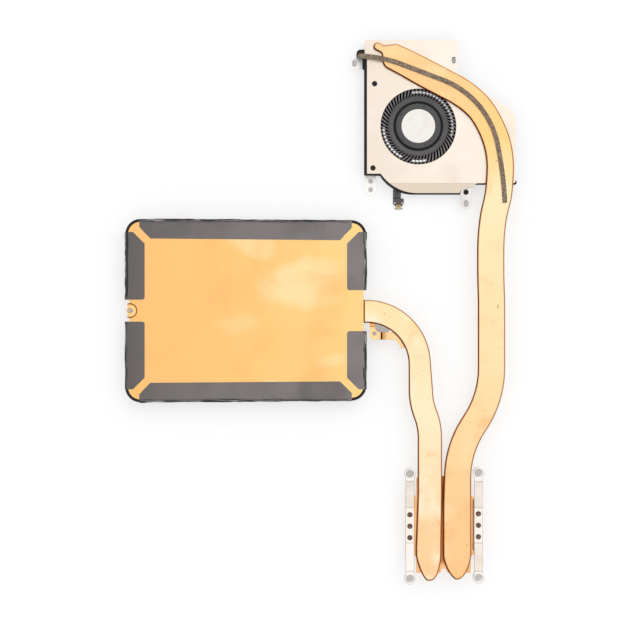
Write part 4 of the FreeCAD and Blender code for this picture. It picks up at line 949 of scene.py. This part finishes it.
def edit_only(piece, parts, wanted):
    """Opens a mesh for editing, with only its wanted edges or polygons selected."""
    edit(piece, selected=False)
    end_edit()
    for part in getattr(piece.data, parts):
        part.select = wanted(part)
    bpy.ops.object.mode_set(mode="EDIT")


round_sides = 144
hub_steps = [
    (7.0, 0.35), (7.95, 0.35), (7.95, -2.2), (8.3, -2.2), (8.3, -0.75), (9.3, -0.75),
    (10.3, -0.2), (10.9, -0.1), (10.9, -2.4), (11.3, -2.4), (11.3, 0.05), (11.26, 0.16),
    (11.14, 0.25), (10.8, 0.3), (10.3, 0.26), (9.8, 0.14), (9.4, 0.0), (9.15, -0.16),
    (9.0, -0.34), (8.92, -0.5), (8.52, -0.5), (8.46, -0.3), (8.44, 0.3), (8.42, 0.45),
    (8.3, 0.56), (8.05, 0.6), (7.0, 0.6)]
impeller = turned("impeller_wheel", axis_x, axis_y, hub_steps, round_sides)
notches, notch_at = [], 7.7
for count in range(5):
    angle = math.radians(2 + count * 72)
    notches.append(turned(f"notch_{count}", axis_x + notch_at * math.cos(angle),
                          axis_y + notch_at * math.sin(angle), [(0.4, 0.38), (0.4, 0.9)], 20))
cut(impeller, join_up(notches[0], notches[1:]))
soften(impeller, 0)

blade_count, blade_steps, blade_reach = 61, 7, 6.4
blade_lean = math.radians(2.64)
axis_point = Vector((axis_x, axis_y, 0)) * mm
deselect()
bpy.ops.mesh.primitive_cube_add(size=1, location=axis_point + Vector((10.7, 0, -0.975)) * mm,
                                scale=(0.1 * mm, 0.48 * mm, 2.85 * mm))
blade = bpy.context.object
blade.name = blade.data.name = "blade"
settle(blade)
edit_only(blade, "polygons", lambda face: face.normal.x > 0.9)
turn = 0.0
for step in range(blade_steps):
    out = blade_reach / blade_steps
    ahead = Vector((math.cos(turn), math.sin(turn), 0)) * out * mm
    bpy.ops.mesh.extrude_region_move(TRANSFORM_OT_translate={"value": ahead})
    bpy.ops.transform.rotate(value=blade_lean * out, orient_axis="Z", center_override=axis_point)
    turn -= blade_lean * out
end_edit()
soften(blade, 0.06, 1)
to_axis = Matrix.Translation(axis_point)
blades = [blade]
for count in range(1, blade_count):
    spun = to_axis @ Matrix.Rotation(math.tau * count / blade_count, 4, "Z") @ to_axis.inverted()
    blades.append(copy_of(blade, f"blade_{count}", spun))
disc_steps = [(10.6, -2.4), (12.5, -2.4), (12.6, -2.35), (12.6, -2.15), (12.5, -2.1),
              (10.6, -2.1), (10.6, -2.4)]
ring_steps = [(13.3, -2.35), (13.4, -2.4), (17.4, -2.4), (17.5, -2.3), (17.5, -2.0), (17.4, -1.9),
              (17.0, -1.9), (16.9, -2.1), (13.4, -2.15), (13.3, -2.2), (13.3, -2.35)]
rounds = [turned("back_disc", axis_x, axis_y, disc_steps, round_sides, hollow=True),
          turned("outer_ring", axis_x, axis_y, ring_steps, round_sides, hollow=True)]
for round_piece in rounds:
    soften(round_piece, 0)
impeller = join_up(impeller, blades + rounds)
fit(impeller, "impeller_plastic", impeller_plastic, "impeller", body="rotor")

label_paper = clouded_finish("label_paper", 0.0, 0.4, (252, 248, 243), (247, 240, 232), 4.0,
                             (0.1, 0.004, 0.34, 0.46), 0.4)
label_steps = [(5.5, 0.6), (6.26, 0.6), (6.3, 0.62), (6.3, 0.65), (6.26, 0.675), (6.15, 0.68),
               (5.5, 0.68)]
label = turned("hub_sticker", axis_x, axis_y, label_steps, 96)
soften(label, 0)
fit(label, "label_white", label_paper, "hub_label", body="rotor")

# --------------------
# Cover. A nickel-plated steel sheet over the blower with the round air inlet. Its lower strip is
# bent down towards the frame, and two screws hold it at its left.
cover_steel = new_finish("cover_steel", 1.0, 0.38)
colour = tones_along([(-30.0, (235, 221, 206)), (-4.0, (244, 232, 217)),
                      (8.0, (244, 232, 219)), (27.0, (245, 229, 210))], "X", 6.0, 30.0)
colour = clouded(colour, (232, 217, 202), 12.0, 0.3, 0.25)
colour = clouded(colour, (248, 238, 227), 18.0, 0.15, 0.16, 3.0)
bend_y = axis_y - 21.4
# Painted shade: the strip below the bend is painted darker, as it slopes away from the light, and
# a thin darker line is painted along the bend.
colour = patched(colour, (-far, far, bend_y - 8.0, bend_y, 0.25, (232, 216, 197)))
bend_line = (-far, far, bend_y - 0.35, bend_y - 0.05, 0.15, (219, 200, 180))
colour = patched(colour, bend_line, amount=0.6)
colour = tarnish_and_shade(colour, (170, 156, 142), 0.8, amount=0.9, lean=0.2)
coat(colour, 0.5, 0.003, 0.3, 0.44, (0.06, 1.0, 1.0))
cover = pressed_from("fan_cover", "blower_cover", 0, flat_faces=False, curve=4)
nudge(cover, "Y", -0.22, lambda spot: 15.5 - math.hypot(spot.x - axis_x, spot.y - axis_y))
fit(cover, "cover_steel", cover_steel, "fan_cover")

# --------------------
# Loose ear and screws. A separate steel ear lies on the frame's boss at the lower right. Three
# blackened cross-head screws hold the ear and the cover's left side.
ear_steel = clouded_finish("ear_steel", 1.0, 0.4, (232, 228, 226), (220, 215, 212), 4.0,
                           drawn_steel, 0.4, tarnish=steel_sides)
loose_ear = pressed_from("mounting_ear", "loose_ear", 0.06)
fit(loose_ear, "base_steel", ear_steel, "mounting_ear")

screw_black = clouded_finish("screw_black", 0.6, 0.4, (30, 27, 26), (52, 47, 44), 0.7,
                             (0.15, 0.006, 0.3, 0.5), 0.35, 0.1, ((74, 68, 64), 0.9, 0.4))
screw_x, screw_y, seat_z = axis_x - 16.4, axis_y + 15.8, 1.1
screw_steps = [(0.3, seat_z - 2.2), (0.45, seat_z - 2.2), (0.55, seat_z - 2.1), (0.55, seat_z),
               (0.96, seat_z), (1.0, seat_z + 0.04), (1.0, seat_z + 0.2), (0.93, seat_z + 0.3),
               (0.8, seat_z + 0.35), (0.3, seat_z + 0.35)]
screw = turned("screw_upper", screw_x, screw_y, screw_steps, 32)
arms = []
for turned_arm in (45, 135):
    deselect()
    bpy.ops.mesh.primitive_cube_add(
        size=1, location=Vector((screw_x, screw_y, seat_z + 0.32)) * mm,
        rotation=(0, 0, math.radians(turned_arm)), scale=(1.15 * mm, 0.3 * mm, 0.34 * mm))
    arm = bpy.context.object
    settle(arm)
    edit(arm)
    bpy.ops.mesh.bevel(offset=0.05 * mm, segments=1)
    end_edit()
    arms.append(arm)
for arm in arms:
    cut(screw, arm)
soften(screw, 0)
for each in (screw, copy_of(screw, "screw_lower", (-0.6, -31.55, 0)),
             copy_of(screw, "screw_ear", (34.3, -40.55, -1.1))):
    fit(each, "screw_black", screw_black, "fan_screws")

# --------------------
# Motor cable. A flat flex, grey film over printed tracks, that leaves the floor at the lower
# left. A stiff dark plug end with two peg holes carries four gold contacts on its tongue.
flex_film = new_finish("flex_film", 0.0, 0.38)
tracks = lay("TexWave", {"Vector": place_in(), "Scale": 330.0, "Distortion": 0.0},
             bands_direction="X").outputs[1]
colour = clouded((92, 90, 90), (78, 76, 76), 2.5)
colour = tint(times(fade(tracks, 0.4, 0.7), 0.35), colour, (120, 116, 112))
# Painted shadow: a dark band just above the plug, and the upper part darkening to near black where
# it goes in under the frame.
colour = patched(
    colour,
    (-25.0, -18.9, 0.0, 200.0, 0.12, (34, 36, 35)),
    (-16.65, -10.0, 0.0, 200.0, 0.12, (40, 30, 28)),
    (-17.15, -16.8, 0.0, 200.0, 0.1, (122, 121, 118)),
    (-17.55, -17.25, 0.0, 200.0, 0.1, (56, 55, 54)),
    (-25.0, -10.0, 0.0, 123.3, 0.12, (30, 32, 30)),
    (-25.0, -10.0, 0.0, 122.6, 0.1, (88, 84, 85)),
    (-25.0, -18.8, 0.0, 122.2, 0.15, (44, 40, 40)),
    (-25.0, -10.0, 128.0, 200.0, 1.4, (22, 20, 19)))
coat(colour)
emboss(tracks, 0.02, 0.5)
flex = pressed_from("flex_cable", "motor_flex", None)


def at_lower_corner(edge):
    ends = [flex.data.vertices[end].co / mm for end in edge.vertices]
    return all(abs(end.x + 19.175) < 0.02 and end.y < 120.6 for end in ends)


edit_only(flex, "edges", at_lower_corner)
bpy.ops.mesh.bevel(offset=0.9 * mm, segments=6)
end_edit()
cut(flex, turned("punch", -18.5, 121.2, [(0.28, -3.6), (0.28, -2.0)], 24))
soften(flex, 0.03, 1)
fit(flex, "flex_dark", flex_film, "flex_cable")

plug_board = new_finish("plug_board", 0.0, 0.4)
colour = clouded((74, 69, 68), (96, 92, 91), 1.2, cover=0.4)
colour = tarnish_and_shade(colour, (30, 27, 27), 0.95, amount=0.9)
gilded = 0.0
first_pad_x, pad_pitch = -18.0, 0.5
for pad in range(4):
    pad_x = first_pad_x + pad * pad_pitch
    gilt = use(patch, Colour=colour, Patch=(224, 190, 116), Left=pad_x,
               Right=pad_x + 0.32, High=120.45, Soft=0.05)
    colour, gilded = gilt["Colour"], calc("MAXIMUM", gilt["Mask"], gilded)
coat(colour, 0.15, 0.006, 0.32, 0.5)
feed(gilded, skin("Metallic"))
plug = pressed_from("cable_stiffener", "plug_end", 0.04, 1)
fit(plug, "flex_dark", plug_board, "cable_stiffener")

contact_gold = clouded_finish("contact_gold", 1.0, 0.3, (240, 222, 168), (222, 194, 124), 0.5,
                              (0.1, 0.003, 0.24, 0.38, (1.0, 0.1, 1.0)), 0.4)
contacts = pressed_from("cable_contacts", "plug_contacts", 0.02, 1)
fit(contacts, "contact_gold", contact_gold, "cable_contacts")

# --------------------
# Felt strip. A narrow length of grey-brown felt, glued along the cover and the pipe to seal the
# air gap under the laptop's shell. Its edges are soft and its fibres stand up unevenly.
felt_finish = new_finish("felt_fibres", 0.0, 0.9)
place = place_in()
tufts = noise(place, 1500.0, 3.0, Roughness=0.7)[0]
colour = tint(fade(tufts, 0.36, 0.62), (96, 80, 64), (156, 137, 117))
lint = lay("TexVoronoi", {"Vector": place, "Scale": 1300.0}).outputs[0]
coat(tint(fade(lint, 0.22, 0.1), colour, (182, 164, 146)))
skin("Sheen Weight").default_value = 0.25
skin("Sheen Roughness").default_value = 0.5
emboss(tufts, 0.12, 0.9)
felt = pressed_from("seal_strip", "felt_strip", None)
apply_modifier(felt, "REMESH", mode="VOXEL", voxel_size=0.16 * mm)
crumple(felt, 0.5, 0.2, "NORMAL")
apply_modifier(felt, "SMOOTH", factor=0.5, iterations=2)
soften(felt, 0)
fit(felt, "felt", felt_finish, "seal_strip")

# --------------------
# Floor, light and camera. The cooler lies on white, lit softly from everywhere and a little more
# from the upper right, and is seen from straight above the picture's middle.
floor_z = -3.36
camera_at = (-46.65, 77.2, 800.0)
# Painted shadows: soft grey spots on the floor under the holes, so that the holes show grey.
shaded_holes = [
    (-13.0, 19.65, 1.7), (12.65, 20.0, 1.7), (-13.0, -19.65, 1.7), (12.65, -19.3, 1.7),
    (seat_x, seat_y, 1.4), (-26.3, 72.2, 1.0), (-23.6, 74.3, 3.2), (-33.7, 173.75, 1.5),
    (-27.6, 129.5, 1.3), (-27.6, 126.2, 1.5), (8.1, 120.9, 1.6), (3.5, 174.5, 1.6)]
deselect()
bpy.ops.mesh.primitive_plane_add(size=6.0, location=(0, 0, floor_z * mm))
ground = bpy.context.object
ground.name = "ground"
settle(ground)
ground_white = bpy.data.materials.new("ground_white")
ground_white.use_nodes = True
at_work["tree"] = ground_white.node_tree
at_work["tree"].nodes.clear()
rays = lay("LightPath").outputs
seen = calc("MAXIMUM", rays["Is Camera Ray"], rays["Is Glossy Ray"])
seen = calc("MAXIMUM", seen, rays["Is Transmission Ray"])
shaded = 0.0
for hole_x, hole_y, reach in shaded_holes:
    near = fade(distance_from(hole_x, hole_y), reach + 0.5, reach - 0.3)
    shaded = calc("MAXIMUM", near, shaded)
pale = tint(shaded, (0.42, 0.42, 0.42, 1.0), (150, 145, 141))
matt = lay("BsdfDiffuse", {"Color": pale}).outputs[0]
open_share = fade(shaded, 0.0, 1.0, 0.62, 0.3)
# Painted light: under the impeller the floor glows brighter, more towards the lower left, so that
# the vents show white.
glow_under_vents = fade(distance_from(axis_x, axis_y), 17.0, 15.0)
spot = axes_of(place_in())
up_right = calc("ADD", spot["X"], spot["Y"])
middle = axis_x + axis_y
up_right = fade(up_right, (middle - 8) * mm, (middle + 12) * mm, 0.34, 0.02)
open_share = calc("MULTIPLY_ADD", glow_under_vents, up_right, open_share)
glow = lay("Emission", {"Strength": calc("MULTIPLY", seen, open_share)}).outputs[0]
both = lay("AddShader", {0: matt, 1: glow}).outputs[0]
lay("OutputMaterial", {"Surface": both})
ground.data.materials.append(ground_white)

world = bpy.data.worlds.new("studio")
bpy.context.scene.world = world
world.use_nodes = True
at_work["tree"] = world.node_tree
at_work["tree"].nodes.clear()
rays = lay("LightPath").outputs
seen = calc("MAXIMUM", rays["Is Camera Ray"], rays["Is Transmission Ray"])
strength = calc("MULTIPLY_ADD", seen, 0.2, 0.8)
strength = calc("MULTIPLY_ADD", rays["Is Glossy Ray"], 0.18, strength)
lay("OutputWorld", {"Surface": lay("Background", {"Color": white, "Strength": strength})
                    .outputs[0]})

deselect()
bpy.ops.object.light_add(type="SUN", rotation=(math.radians(-36), math.radians(26), 0))
key = bpy.context.object
key.name = "key_light"
key.data.energy = 0.6
key.data.angle = math.radians(60)

deselect()
bpy.ops.object.camera_add(location=Vector(camera_at) * mm, rotation=(0, 0, 0))
camera = bpy.context.object
camera.data.lens = 120
camera.data.sensor_width = 36
camera.data.clip_end = 20
bpy.context.scene.camera = camera
bpy.context.scene.view_settings.view_transform = "Standard"
